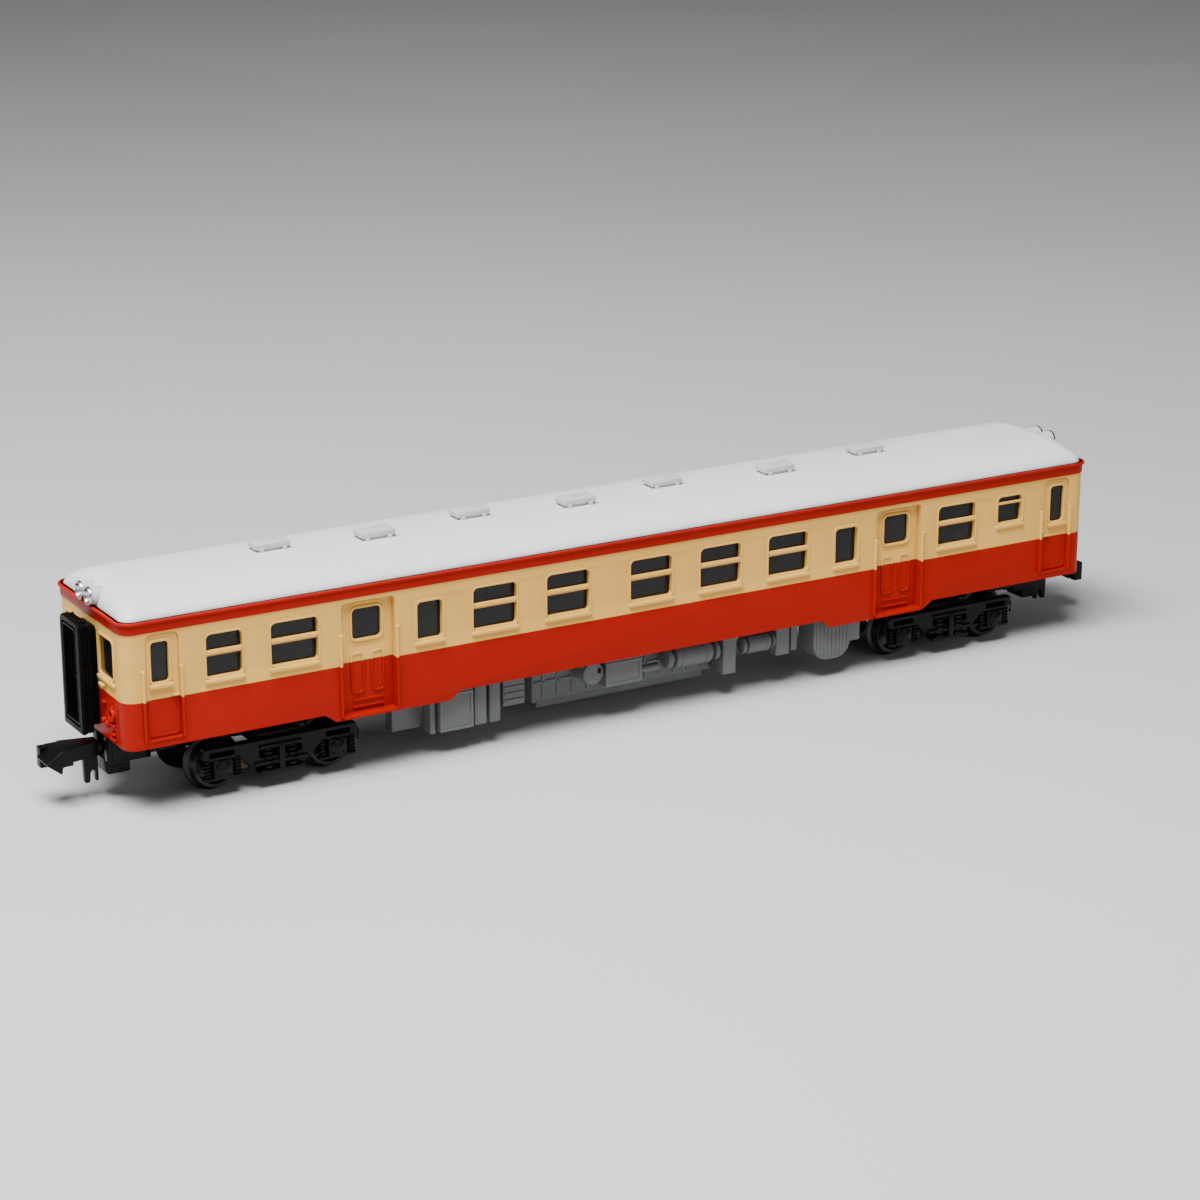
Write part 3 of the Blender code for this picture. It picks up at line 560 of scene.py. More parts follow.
def door_outline(x, half, z, radius, side):
    """A doorway on the unrolled wall, round at the top and nearly square at the sill."""
    centre = along_side(side, x)
    return rounded(centre - half, centre + half, z[0], z[1], radius, 0.05)


def body_shell():
    """Walls with their openings, the gutter band with its lip, and all the trim on them."""
    bm = bmesh.new()
    holes = []
    for side in (-1, 1):
        holes += [grown(at_side(side, p), 0.0, 0.62) for p in barred_windows(side)]
        holes += [grown(at_side(side, p), 0.0, 0.5) for p in narrow_windows()]
        holes += [door_outline(x, DOOR_HALF, DOOR_Z, 0.5, side) for x in DOORS]
        holes += [door_outline(x, CREW_HALF, CREW_Z, 0.75, side) for x in CREW_DOORS]
    holes.append(grown(at_side(-1, SERVICE_WINDOW), 0.0, 0.45))
    for end in (-1, 1):
        for y in (-1, 1):
            spans = sorted(along_end(end, y * limit) for limit in END_PANE_Y)
            holes.append(rounded(*spans, *END_PANE_Z, 0.6, 0.3))
    wrapped(bm, [wall_outline()] + holes, -WALL, 0.0, 0.045)
    band = [(0.0, GUTTER_LOW), (PATH_LENGTH, GUTTER_LOW), (PATH_LENGTH, GUTTER_TOP), (0.0, GUTTER_TOP)]
    wrapped(bm, [band], -0.3, BAND_PROUD, 0.06)
    lip = [(a, max(b, GUTTER_TOP - LIP_DEPTH)) for a, b in band]
    wrapped(bm, [lip], LIP_INNER, LIP_PROUD, 0.1, 3)
    for side in (-1, 1):
        side_trim(bm, side)
    for end in (-1, 1):
        end_trim(bm, end)
    finish_piece("coach_body", bm, MATS["shell"], "coach", ["body_shell"])


def ring(pane, inner, outer, radius):
    """The two outlines of a frame round a pane."""
    return [grown(pane, outer, radius), grown(pane, inner, radius)]


def side_trim(bm, side):
    """Everything that stands proud of, or lies back from, one side wall."""
    def place(point):
        a, b, out = point
        return (a, side * (HALF_WIDTH + out), b)

    def put(outlines, low, high, edge=0.05, rounds=2):
        add(bm, slab(outlines, low, high, edge, rounds), place)

    barred, narrow = barred_windows(side), narrow_windows()
    service = [SERVICE_WINDOW] if side < 0 else []
    rims, sills, bars, rails = [], [], [], []
    for pane in barred:
        rims += ring(pane, -0.01, 0.2, BARRED_RADIUS)
        x, width, low, _ = pane
        half = width / 2
        sills.append(rounded(x - half - 0.24, x + half + 0.24, low - 0.62, low - 0.06, 0.2))
        bars.append(rounded(x - half - 0.05, x + half + 0.05, *BAR_Z, 0.12))
        rails.append(rounded(x - half - 0.05, x + half + 0.05, low - 0.08, low + 0.17, 0.08))
    for pane in narrow + service:
        rims += ring(pane, -0.01, 0.36, NARROW_RADIUS)
        x, width, low, _ = pane
        half = width / 2
        sills.append(rounded(x - half - 0.34, x + half + 0.34, low - 0.62, low - 0.06, 0.24))
        rails.append(rounded(x - half, x + half, low - 0.08, low + 0.15, 0.08))
    for x, width, _, _ in service:
        bars.append(rounded(x - width / 2 - 0.05, x + width / 2 + 0.05, *SERVICE_BAR_Z, 0.1))
    put(rims, -0.3, 0.12, 0.07, 3)
    put(sills, -0.2, 0.32, 0.2, 4)
    put(bars, -0.42, 0.02, 0.18, 4)
    put(rails, -0.5, 0.06, 0.1, 3)

    for x in DOORS:
        passenger_door(put, x)
    for x in CREW_DOORS:
        crew_door(put, x)


def passenger_door(put, x):
    """Sliding door leaf set deep in its opening, with pressed panels, a tread plate and grab rails."""
    face = -DOOR_DEPTH
    middle = x + LEAF_SHIFT
    left, right = x - DOOR_HALF, x + DOOR_HALF
    pane = (middle, *DOOR_PANE)
    leaf = rounded(left - 0.1, right + 0.1, DOOR_Z[0] - 0.05, DOOR_Z[1] + 0.15, 0.3, 0.05)
    put([leaf, grown(pane, 0.0, DOOR_PANE_RADIUS)], face - 0.5, face, 0.05)
    put(ring(pane, -0.02, 0.3, DOOR_PANE_RADIUS), face - 0.3, face + 0.2, 0.12, 3)
    put(ring(pane, 0.58, 0.72, 0.6), face - 0.1, face + 0.07, 0.05)
    for centre in (middle - 1.25, middle + 1.3):
        panel = (centre, 1.62, 9.25, 14.05)
        put(ring(panel, -0.2, 0.05, 0.5), face - 0.1, face + 0.2, 0.12, 3)
    for low_z in (7.5, 8.3):
        rib = rounded(middle - 1.95, middle + 1.95, low_z, low_z + 0.34, 0.15)
        put([rib], face - 0.1, face + 0.2, 0.13, 3)
    put([rounded(left - 0.1, right + 0.12, 6.68, 7.14, 0.1)], face - 0.2, 0.3, 0.12, 3)
    for rail in (left - 0.24, right + 0.14):
        put([rounded(rail - 0.16, rail + 0.16, 7.0, 16.75, 0.12)], -0.1, 0.4, 0.14, 3)
        put([rounded(rail - 0.2, rail + 0.36, 16.45, 16.78, 0.12)], -0.1, 0.33, 0.1, 3)


def crew_door(put, x):
    """Narrow hinged cab door with its window, handle, tread and two long grab rails."""
    outward = math.copysign(1.0, x)
    face = -CREW_DEPTH
    pane = crew_pane(x)
    left, right = x - CREW_HALF, x + CREW_HALF
    leaf = rounded(left - 0.1, right + 0.1, CREW_Z[0] - 0.1, CREW_Z[1] + 0.1, 0.7, 0.05)
    put([leaf, grown(pane, 0.0, CREW_PANE_RADIUS)], face - 0.5, face, 0.05)
    edge = (x, 2 * CREW_HALF - 0.24, CREW_Z[0] + 0.12, CREW_Z[1] - 0.12)
    put(ring(edge, -0.3, 0.0, 0.62), face - 0.1, face + 0.09, 0.05, 3)
    put(ring(pane, -0.02, 0.3, CREW_PANE_RADIUS), face - 0.2, face + 0.16, 0.08, 3)
    pane_x, width, low, _ = pane
    half = width / 2
    sill = rounded(pane_x - half - 0.35, pane_x + half + 0.35, low - 0.62, low - 0.12, 0.16)
    put([sill], face, 0.2, 0.14, 3)
    handle = x - outward * 1.4
    put([rounded(handle - 0.42, handle + 0.42, 13.2, 13.46, 0.1)], face, 0.12, 0.1, 3)
    put([rounded(left - 0.05, right + 0.05, 8.32, 8.62, 0.08)], face, 0.16, 0.08, 3)
    for rail in (left - 0.45, right + 0.12):
        put([rounded(rail - 0.13, rail + 0.16, 8.5, 16.65, 0.12)], -0.1, 0.4, 0.12, 3)
        put([rounded(rail - 0.2, rail + 0.2, 16.3, 16.68, 0.12)], -0.1, 0.33, 0.1, 3)


def end_trim(bm, end):
    """Window frames, grab irons, tail lamps, sockets and steps on one end wall."""
    def place(point):
        a, b, out = point
        return (end * (HALF_LENGTH + out), a, b)

    def put(outlines, low, high, edge=0.05, rounds=2):
        add(bm, slab(outlines, low, high, edge, rounds), place)

    def bar(middle, half, low, high, radius, back, proud, edge, rounds=2):
        put([rounded(middle - half, middle + half, low, high, radius)], back, proud, edge, rounds)

    for outward in (-1.0, 1.0):
        y = outward * END_PANE_MIDDLE
        put(ring((y, END_PANE_WIDTH, *END_PANE_Z), -0.02, 0.26, 0.5), -0.3, 0.16, 0.08, 3)
        sill_z = END_PANE_Z[0] - 0.16
        bar(y, END_PANE_WIDTH / 2 + 0.3, sill_z - 0.5, sill_z, 0.16, -0.1, 0.34, 0.14, 3)
        bar(outward * 3.75, 0.62, 13.78, 14.06, 0.1, 0.1, 0.55, 0.1, 3)
        for post in (3.3, 4.2):
            bar(outward * post, 0.1, 13.8, 14.04, 0.06, -0.1, 0.4, 0.05)
        bar(outward * 3.6, 0.5, 11.75, 11.98, 0.09, -0.1, 0.32, 0.09, 3)
        tail_lamp(put, outward * 5.9, 10.95)
        for place_y, z, radius in ((3.6, 9.75, 0.36), (4.55, 9.6, 0.42)):
            socket(put, outward * place_y, z, radius)
        for low_z, proud in ((9.75, 0.42), (8.75, 0.36), (8.15, 0.36)):
            bar(outward * 6.05, 0.62, low_z, low_z + 0.24, 0.09, -0.1, proud, 0.08, 3)
        bar(outward * 7.2, 0.08, 8.3, 12.2, 0.06, -0.1, 0.18, 0.05)


def tail_lamp(put, y, z):
    """A round lamp with a raised rim and a small peak above it."""
    put([circle(y, z, 0.78), circle(y, z, 0.5)], -0.1, 0.42, 0.1, 3)
    put([circle(y, z, 0.55)], -0.1, 0.2, 0.12, 3)
    put([rounded(y - 0.2, y + 0.2, z + 0.66, z + 0.98, 0.1)], -0.1, 0.3, 0.08)


def socket(put, y, z, radius):
    """A stub of a hose or cable connection."""
    put([circle(y, z, radius, 14)], -0.1, 0.4, 0.1, 3)
    put([circle(y, z, radius * 0.55, 12)], 0.1, 0.52, 0.06)


# ---- glazing ----
def side_glazing(side, name, node):
    """One clear moulding: a thin strip inside the wall with a boss that fills each opening."""
    def place(point):
        a, b, out = point
        return (a, side * (HALF_WIDTH + out), b)

    bm = bmesh.new()
    strip = rounded(-62.6, 62.6, 13.9, 20.1, 0.4)
    add(bm, slab([strip], -1.52, -1.38, 0.03), place)
    bosses = [grown(p, -0.05, 0.5) for p in barred_windows(side) + narrow_windows()]
    if side < 0:
        bosses.append(grown(SERVICE_WINDOW, -0.05, 0.4))
    bosses += [grown(crew_pane(x), -0.05, 0.4) for x in CREW_DOORS]
    add(bm, slab(bosses, -1.45, -0.5, 0.08), place)
    doors = [grown((x + LEAF_SHIFT, *DOOR_PANE), -0.05, 0.45) for x in DOORS]
    add(bm, slab(doors, -1.45, -DOOR_DEPTH - 0.18, 0.08), place)
    finish_piece(name, bm, MATS["glass"], "coach", [node])


def cab_glazing(end):
    """One clear moulding behind an end wall, with a boss in each of its two windows."""
    bm = bmesh.new()
    place = lambda p: (-(HALF_LENGTH + p[2]), p[0], p[1])
    add(bm, slab([rounded(-7.2, 7.2, 14.3, 20.1, 0.5)], -1.3, -1.15, 0.03), place)
    panes = [grown((y, END_PANE_WIDTH, *END_PANE_Z), -0.05, 0.45)
             for y in (-END_PANE_MIDDLE, END_PANE_MIDDLE)]
    add(bm, slab(panes, -1.2, -0.12, 0.08), place)
    finish_piece("cab_window_" + end, bm, MATS["glass"], "coach", ["cab_glazing_" + end],
                 END_TURNS[end])


# ---- roof and ventilators ----
ROOF_LOW, ROOF_HIGH = box_mm("roof")
ROOF_END_RUN = 3.6
ROOF_ARCH = (2.7, 0.55)
ROOF_END_ARCH = (2.6, 0.5)
ROOF_COLUMNS = 44
ROOF_END_ROWS = 22
ROOF_MIDDLE_ROWS = 12


def roof_width(x):
    """Half the roof's width at x: it draws in round the corners."""
    from_end = max(0.0, CORNER - (ROOF_HIGH.x - abs(x)))
    return ROOF_HIGH.y - CORNER + math.sqrt(max(0.0, CORNER ** 2 - from_end ** 2))


def roof_height(x, y):
    """Outer surface of the roof: a flattened arch across, rounded down over its last stretch."""
    straight = ROOF_HIGH.x - ROOF_END_RUN
    overrun = min(1.0, max(0.0, (abs(x) - straight) / ROOF_END_RUN))
    u = min(1.0, abs(y) / roof_width(x))
    across = (1 - u ** ROOF_ARCH[0]) ** ROOF_ARCH[1]
    along = (1 - overrun ** ROOF_END_ARCH[0]) ** ROOF_END_ARCH[1]
    return ROOF_LOW.z + (ROOF_HIGH.z - ROOF_LOW.z) * across * along


def roof():
    """The roof as a closed solid whose edge reaches down behind the gutter's lip."""
    bm = bmesh.new()
    columns, ends = ROOF_COLUMNS, ROOF_END_ROWS
    straight = ROOF_HIGH.x - ROOF_END_RUN
    steps = [math.sin(math.pi / 2 * i / ends) for i in range(ends, -1, -1)]
    stations = [-(straight + ROOF_END_RUN * t) for t in steps]
    stations += [-straight + 2 * straight * i / ROOF_MIDDLE_ROWS for i in range(1, ROOF_MIDDLE_ROWS)]
    stations += [-x for x in reversed(stations[:ends + 1])]
    rows = []
    for x in stations:
        width = roof_width(x)
        row = []
        for i in range(columns + 1):
            y = width * math.sin(math.pi / 2 * (2.0 * i / columns - 1.0))
            row.append(bm.verts.new((x, y, roof_height(x, y))))
        rows.append(row)
    for first, second in zip(rows, rows[1:]):
        for i in range(columns):
            bm.faces.new((first[i], first[i + 1], second[i + 1], second[i]))
    rim = [row[0] for row in rows] + rows[-1][1:]
    rim += [row[-1] for row in reversed(rows[:-1])] + rows[0][-2:0:-1]
    lower = [bm.verts.new((v.co.x, v.co.y, ROOF_LOW.z - 0.2)) for v in rim]
    for i in range(len(rim)):
        j = (i + 1) % len(rim)
        bm.faces.new((rim[i], rim[j], lower[j], lower[i]))
    bm.faces.new(lower)
    bmesh.ops.remove_doubles(bm, verts=bm.verts, dist=0.0005)
    bmesh.ops.recalc_face_normals(bm, faces=bm.faces)
    finish_piece("coach_roof", bm, MATS["roof"], "coach", ["roof"], sharp=50)


def vents():
    """Low boxes with a lipped lid on a narrower neck, and a lug at each end of the neck."""
    for number in range(1, 8):
        node = "roof_vent_" + str(number)
        low, high = box_mm(node)
        bm = bmesh.new()
        block(bm, (low.x, high.x), (low.y, high.y), (high.z - 0.66, high.z), 0.1, 3)
        neck_x, neck_y = (low.x + 0.35, high.x - 0.35), (low.y + 0.25, high.y - 0.25)
        block(bm, neck_x, neck_y, (low.z - 0.3, high.z - 0.5), 0.06)
        for y in (low.y + 0.02, high.y - 0.02):
            for x in (low.x + 0.75, high.x - 0.75):
                block(bm, (x - 0.28, x + 0.28), (y - 0.16, y + 0.16), (low.z - 0.35, low.z + 0.34), 0.1, 3)
        finish_piece("vent_" + str(number), bm, MATS["vent"], "coach", [node])


# ---- end fittings ----
def arch(half, low, top, radius):
    """An outline over the coach's centre line, round at the top and nearly square below."""
    return rounded(-half, half, low, top, radius, 0.05, 6)


def gangway(end):
    """Vestibule: a face frame, soft pleats behind it, a narrower neck at the wall, and an inner door."""
    low, high = box_mm("gangway_front")
    bm = bmesh.new()
    face, wall = low.x, high.x
    half, bottom, top = high.y, low.z, high.z
    back = face + 0.62 * (wall - face)
    hollow = arch(half - 1.0, bottom + 1.2, top - 1.1, 0.4)
    pleats = 3
    step = (back - face - 0.5) / pleats
    for i in range(pleats):
        start = face + 0.45 + i * step
        wide = arch(half - 0.06, bottom + 0.06, top - 0.08, 0.85)
        add(bm, slab([wide, hollow], start, start + step * 0.8, 0.12, 3), to_end)
        fold = arch(half - 0.3, bottom + 0.3, top - 0.32, 0.7)
        add(bm, slab([fold, hollow], start + step * 0.6, start + step * 1.2, 0.03), to_end)
    neck = arch(half - 0.75, bottom + 0.75, top - 0.75, 0.6)
    add(bm, slab([neck, hollow], back - 0.2, wall, 0.05), to_end)
    add(bm, slab([arch(half, bottom, top, 0.9), hollow], face, face + 0.48, 0.14, 4), to_end)
    frame_edge = arch(half - 0.85, bottom + 1.0, top - 0.95, 0.5)
    bead = arch(half - 0.5, bottom + 0.6, top - 0.55, 0.6)
    add(bm, slab([bead, frame_edge], face, face + 0.25, 0.08, 3), to_end)
    door = arch(half - 0.9, bottom + 1.1, top - 1.0, 0.4)
    add(bm, slab([door], face + 0.75, face + 1.0, 0.05), to_end)
    pane = arch(half - 1.5, bottom + 6.0, top - 1.9, 0.3)
    pane_frame = arch(half - 1.3, bottom + 5.8, top - 1.7, 0.4)
    add(bm, slab([pane_frame, pane], face + 0.62, face + 0.8, 0.06, 3), to_end)
    for y in (-1.75, 1.75):
        block(bm, (face + 0.15, face + 0.75), (y - 0.3, y + 0.3), (top - 0.3, top + 0.02), 0.1, 3)
        block(bm, (face + 0.95, back - 0.1), (y - 0.2, y + 0.2), (top - 0.25, top - 0.02), 0.08, 3)
    finish_piece("bellows_" + end, bm, MATS["gangway"], "coach", ["gangway_" + end],
                 END_TURNS[end])


LAMP_RADIUS = 1.05
LAMP_Y = 1.25


def headlamps(end):
    """Twin lamps in one cowl at the roof's end, each with a silver bowl and a clear lens."""
    low, high = box_mm("headlight_front")
    face = low.x
    radius = LAMP_RADIUS
    centre_y = LAMP_Y
    centre_z = low.z + radius
    bm = bmesh.new()
    rims = bmesh.new()
    for y in (-centre_y, centre_y):
        spot = (face, y, centre_z)
        shell = [(0.0, 1.15), (0.5, 1.1), (0.92, 0.45), (radius - 0.06, 0.32), (radius - 0.06, 0.6),
                 (radius - 0.14, 1.6), (radius - 0.3, 2.4), (radius - 0.55, 3.0), (0.2, 3.3), (0.0, 3.35)]
        turned(bm, shell, 'X', spot, 40)
        bowl = [(0.0, 0.95), (0.3, 0.87), (0.6, 0.58), (0.84, 0.1), (0.9, 0.0), (0.98, 0.0), (radius, 0.1),
                (radius, 0.3), (0.96, 0.36), (0.9, 0.36), (0.65, 0.8), (0.3, 1.05), (0.0, 1.1)]
        turned(rims, bowl, 'X', spot, 40)
    finish_piece("lamp_bowls_" + end, rims, MATS["silver"], "coach", ["headlight_" + end],
                 END_TURNS[end])
    cowl = rounded(-centre_y - 0.75, centre_y + 0.75, low.z - 0.15, centre_z + 0.55, 0.5, 0.1)
    add(bm, slab([cowl], face + 0.9, high.x - 0.2, 0.3, 4), to_end)
    finish_piece("lamp_cowl_" + end, bm, MATS["vent"], "coach", ["headlight_" + end],
                 END_TURNS[end])

    bm = bmesh.new()
    for y in (-centre_y, centre_y):
        lens = [(0.0, 0.0), (0.3, 0.03), (0.55, 0.13), (0.73, 0.3), (0.73, 0.42), (0.5, 0.6),
                (0.0, 0.7)]
        turned(bm, lens, 'X', (face, y, centre_z), 32)
    guide_low, guide_high = box_mm("light_guide_front")
    block(bm, (face + 2.1, guide_high.x), (-1.6, 1.6), (guide_low.z, guide_low.z + 0.75), 0.1, 3)
    finish_piece("lamp_lenses_" + end, bm, MATS["lens"], "coach", ["light_guide_" + end],
                 END_TURNS[end])


# ---- underfloor equipment ----
def equipment():
    """The mounting plate, the engine, and the same row of units on each side."""
    low, high = box_mm("underfloor_equipment")
    hang = high.z - 0.5
    bm = bmesh.new()
    block(bm, (low.x, high.x), (-7.1, 7.1), (hang, high.z), 0.08)
    engine(bm, hang)
    for turn in (Matrix.Identity(4), Matrix.Rotation(math.pi, 4, 'Z')):
        part = bmesh.new()
        one_side_equipment(part, hang + 0.1)
        bmesh.ops.transform(part, matrix=turn, verts=part.verts)
        add(bm, part, tuple)
    finish_piece("equipment", bm, MATS["grey"], "coach", ["underfloor_equipment"])


def engine(bm, top):
    """The large flat engine in the middle, with a sump, covers and ribs."""
    block(bm, (-12.5, 12.5), (-4.6, 4.6), (2.3, top + 0.1), 0.25, 3)
    block(bm, (-11.6, 11.6), (-4.0, 4.0), (1.3, 2.6), 0.35, 3)
    for x in range(-11, 12, 2):
        block(bm, (x - 0.2, x + 0.2), (-4.75, 4.75), (2.9, top), 0.1)
    for y in (-4.65, 4.65):
        block(bm, (-12.2, 12.2), (y - 0.1, y + 0.1), (4.6, 5.0), 0.08)


def air_tank(bm, x0, x1, y, z, radius):
    """A tank along X with a cap on a narrower neck at each end and two hanger straps."""
    length = x1 - x0
    cap, neck = 0.1 * length, 0.06 * length
    shoulder = cap + neck
    profile = [(0.0, 0.0), (radius * 0.5, 0.02), (radius * 0.8, 0.12), (radius * 0.9, 0.3),
               (radius * 0.9, cap), (radius * 0.55, cap + 0.04), (radius * 0.55, shoulder),
               (radius * 0.88, shoulder + 0.04), (radius * 0.97, shoulder + 0.16), (radius, shoulder + 0.4)]
    profile += [(r, length - a) for r, a in reversed(profile)]
    turned(bm, profile, 'X', (x0, y, z), 36)
    strap = [(radius - 0.05, -0.2), (radius + 0.06, -0.16), (radius + 0.06, 0.16), (radius - 0.05, 0.2)]
    for x in (x0 + length * 0.28, x1 - length * 0.28):
        turned(bm, strap, 'X', (x, y, z), 32)
        block(bm, (x - 0.2, x + 0.2), (y - 0.16, y + 0.16), (z + radius * 0.7, 7.3), 0.05)


# Plain units of one side: x0, x1, y0, y1, low z.
UNITS = (
    (-31.1, -27.4, -5.2, -3.5, 2.4),
    (-27.35, -26.65, -7.5, -5.3, 2.15),
    (-26.4, -22.1, -8.1, -5.6, 2.4),
    (-21.8, -20.25, -7.95, -5.7, 2.4),
    (-19.85, -18.45, -7.95, -5.7, 2.4),
    (-17.75, -14.85, -7.25, -5.3, 3.7),
    (-4.43, 0.43, -8.1, -5.3, 4.0),
    (12.05, 13.85, -7.85, -4.7, 2.55),
    (19.65, 21.55, -7.85, -5.5, 3.65),
    (21.95, 22.85, -7.55, -5.5, 3.85),
    (30.25, 31.85, -7.95, -4.7, 3.8),
)
FUEL_TANK = (24.95, 30.3, 2.0, 7.2)
FUEL_TANK_RADIUS = 2.1


def one_side_equipment(bm, top):
    """The row of units that hangs along the near side, front to rear."""
    for x0, x1, y0, y1, low_z in UNITS:
        block(bm, (x0, x1), (y0, y1), (low_z, top), 0.12, 3)
    for x0, x1, low_z in ((-26.4, -22.1, 2.4), (-4.43, 0.43, 4.0)):
        border = [rounded(x0, x1, low_z, 6.95, 0.15)]
        border.append(rounded(x0 + 0.34, x1 - 0.34, low_z + 0.38, 6.6, 0.1))
        add(bm, slab(border, -8.19, -8.02, 0.05), to_side)
    for x0 in (-21.8, -19.85):
        block(bm, (x0 + 0.25, x0 + 0.45), (-8.02, -7.8), (2.6, top - 0.2), 0.04)
    for z in (4.4, 5.2, 6.0):
        block(bm, (-17.6, -15.0), (-7.38, -7.1), (z - 0.12, z + 0.12), 0.05)
    drum = [circle(-6.05, 5.95, 1.38, 36), rounded(-5.42, -4.97, 5.92, 6.5, 0.05)]
    add(bm, slab(drum, -7.98, -5.3, 0.15, 3), to_side)
    block(bm, (-7.3, -4.8), (-7.5, -5.4), (6.3, top), 0.08)
    pipe(bm, [(0.2, -7.3, 5.15), (3.1, -7.3, 5.15)], 0.45, 16)
    air_tank(bm, 4.35, 11.85, -6.6, 5.65, 1.44)
    air_tank(bm, 14.95, 19.65, -6.9, 5.6, 1.19)
    tank = rounded(*FUEL_TANK, 0.1, FUEL_TANK_RADIUS, 8)
    add(bm, slab([tank], -8.12, -4.65, 0.12, 3), to_side)
    first_rib, rib_step, rib_count, flat_half = 25.38, 0.56, 9, 0.57
    middle_x = first_rib + rib_step * (rib_count - 1) / 2
    for step in range(rib_count):
        x = first_rib + rib_step * step
        off_flat = max(0.0, abs(x - middle_x) - flat_half)
        low_z = 4.22 - math.sqrt(FUEL_TANK_RADIUS ** 2 - off_flat ** 2)
        block(bm, (x - 0.08, x + 0.08), (-8.2, -8.0), (low_z, 6.8), 0.04)


# ---- bogies ----
def bogie(end):
    """Pressed side frames with axle boxes, coil springs, brake gear, and the coupler's pocket."""
    body = "bogie_" + end
    bm = bmesh.new()
    blocks(bm, ((-2.5, 2.5, -6.5, 6.5, 4.35, 5.85, 0.15),
                (-13.7, -2.0, -2.6, 2.6, 4.5, 5.7, 0.15),
                (-12.6, -3.2, -1.4, 1.4, 4.2, 4.7, 0.1)))
    turned(bm, [(1.3, 5.7), (1.3, 5.92), (2.3, 5.92), (2.3, 5.7)], 'Z', (0.0, 0.0, 0.0), 32)
    pocket(bm)
    for side in (-1, 1):
        side_frame(bm, side)
    finish_piece("bogie_" + end + "_moulding", bm, MATS["black"], body, ["bogie_frame_" + end],
                 BOGIE_TURNS[end])

    bm = bmesh.new()
    profile = [(0.0, 3.65), (0.35, 3.65), (0.45, 3.85), (1.5, 3.85), (1.62, 3.68), (1.85, 3.7),
               (1.9, 4.1), (1.85, 4.2), (1.0, 4.2), (1.0, 8.6), (0.0, 8.7)]
    turned(bm, profile, 'Z', (0.0, 0.0, 0.0), 32)
    finish_piece("pivot_" + end, bm, MATS["black"], "coach", ["bogie_pin_" + end],
                 BOGIE_TURNS[end])


def pocket(bm):
    """The open-fronted box that holds the coupler's tail, with a deeper spring box under its mouth."""
    back, front = -13.4, -18.4
    top, bottom = 6.9, 3.9
    half = 2.3
    blocks(bm, ((front + 0.3, back, -half, half, bottom, 4.3, 0.12),
                (front + 0.45, back, -half, half, 6.5, top, 0.1),
                (back - 0.6, back, -half, half, 4.1, 6.7, 0.1),
                (front + 0.05, front + 2.7, -1.7, 1.7, 2.5, bottom + 0.2, 0.16, 3),
                (front + 0.5, front + 2.2, -1.8, 1.8, 2.9, 3.5, 0.1)))
    for y in (-1, 1):
        blocks(bm, ((front + 0.3, back, y * 1.9, y * half, 4.1, 6.7, 0.1),
                    (front, front + 0.55, y * 1.02, y * half, bottom + 0.1, top - 0.1, 0.1),
                    (front + 1.0, back - 1.0, y * 2.2, y * (half + 0.1), 5.0, 5.9, 0.08)))
    rivet = [(0.0, 3.6), (0.5, 3.6), (0.55, 3.72), (0.55, 4.0), (0.0, 4.0)]
    for x in (front + 3.3, back - 0.5):
        turned(bm, rivet, 'Z', (x, 0.0, 0.0), 16)


def mirrored(half):
    """A closed outline from its right half, given from top to bottom."""
    return half + [(-x, z) for x, z in reversed(half)]


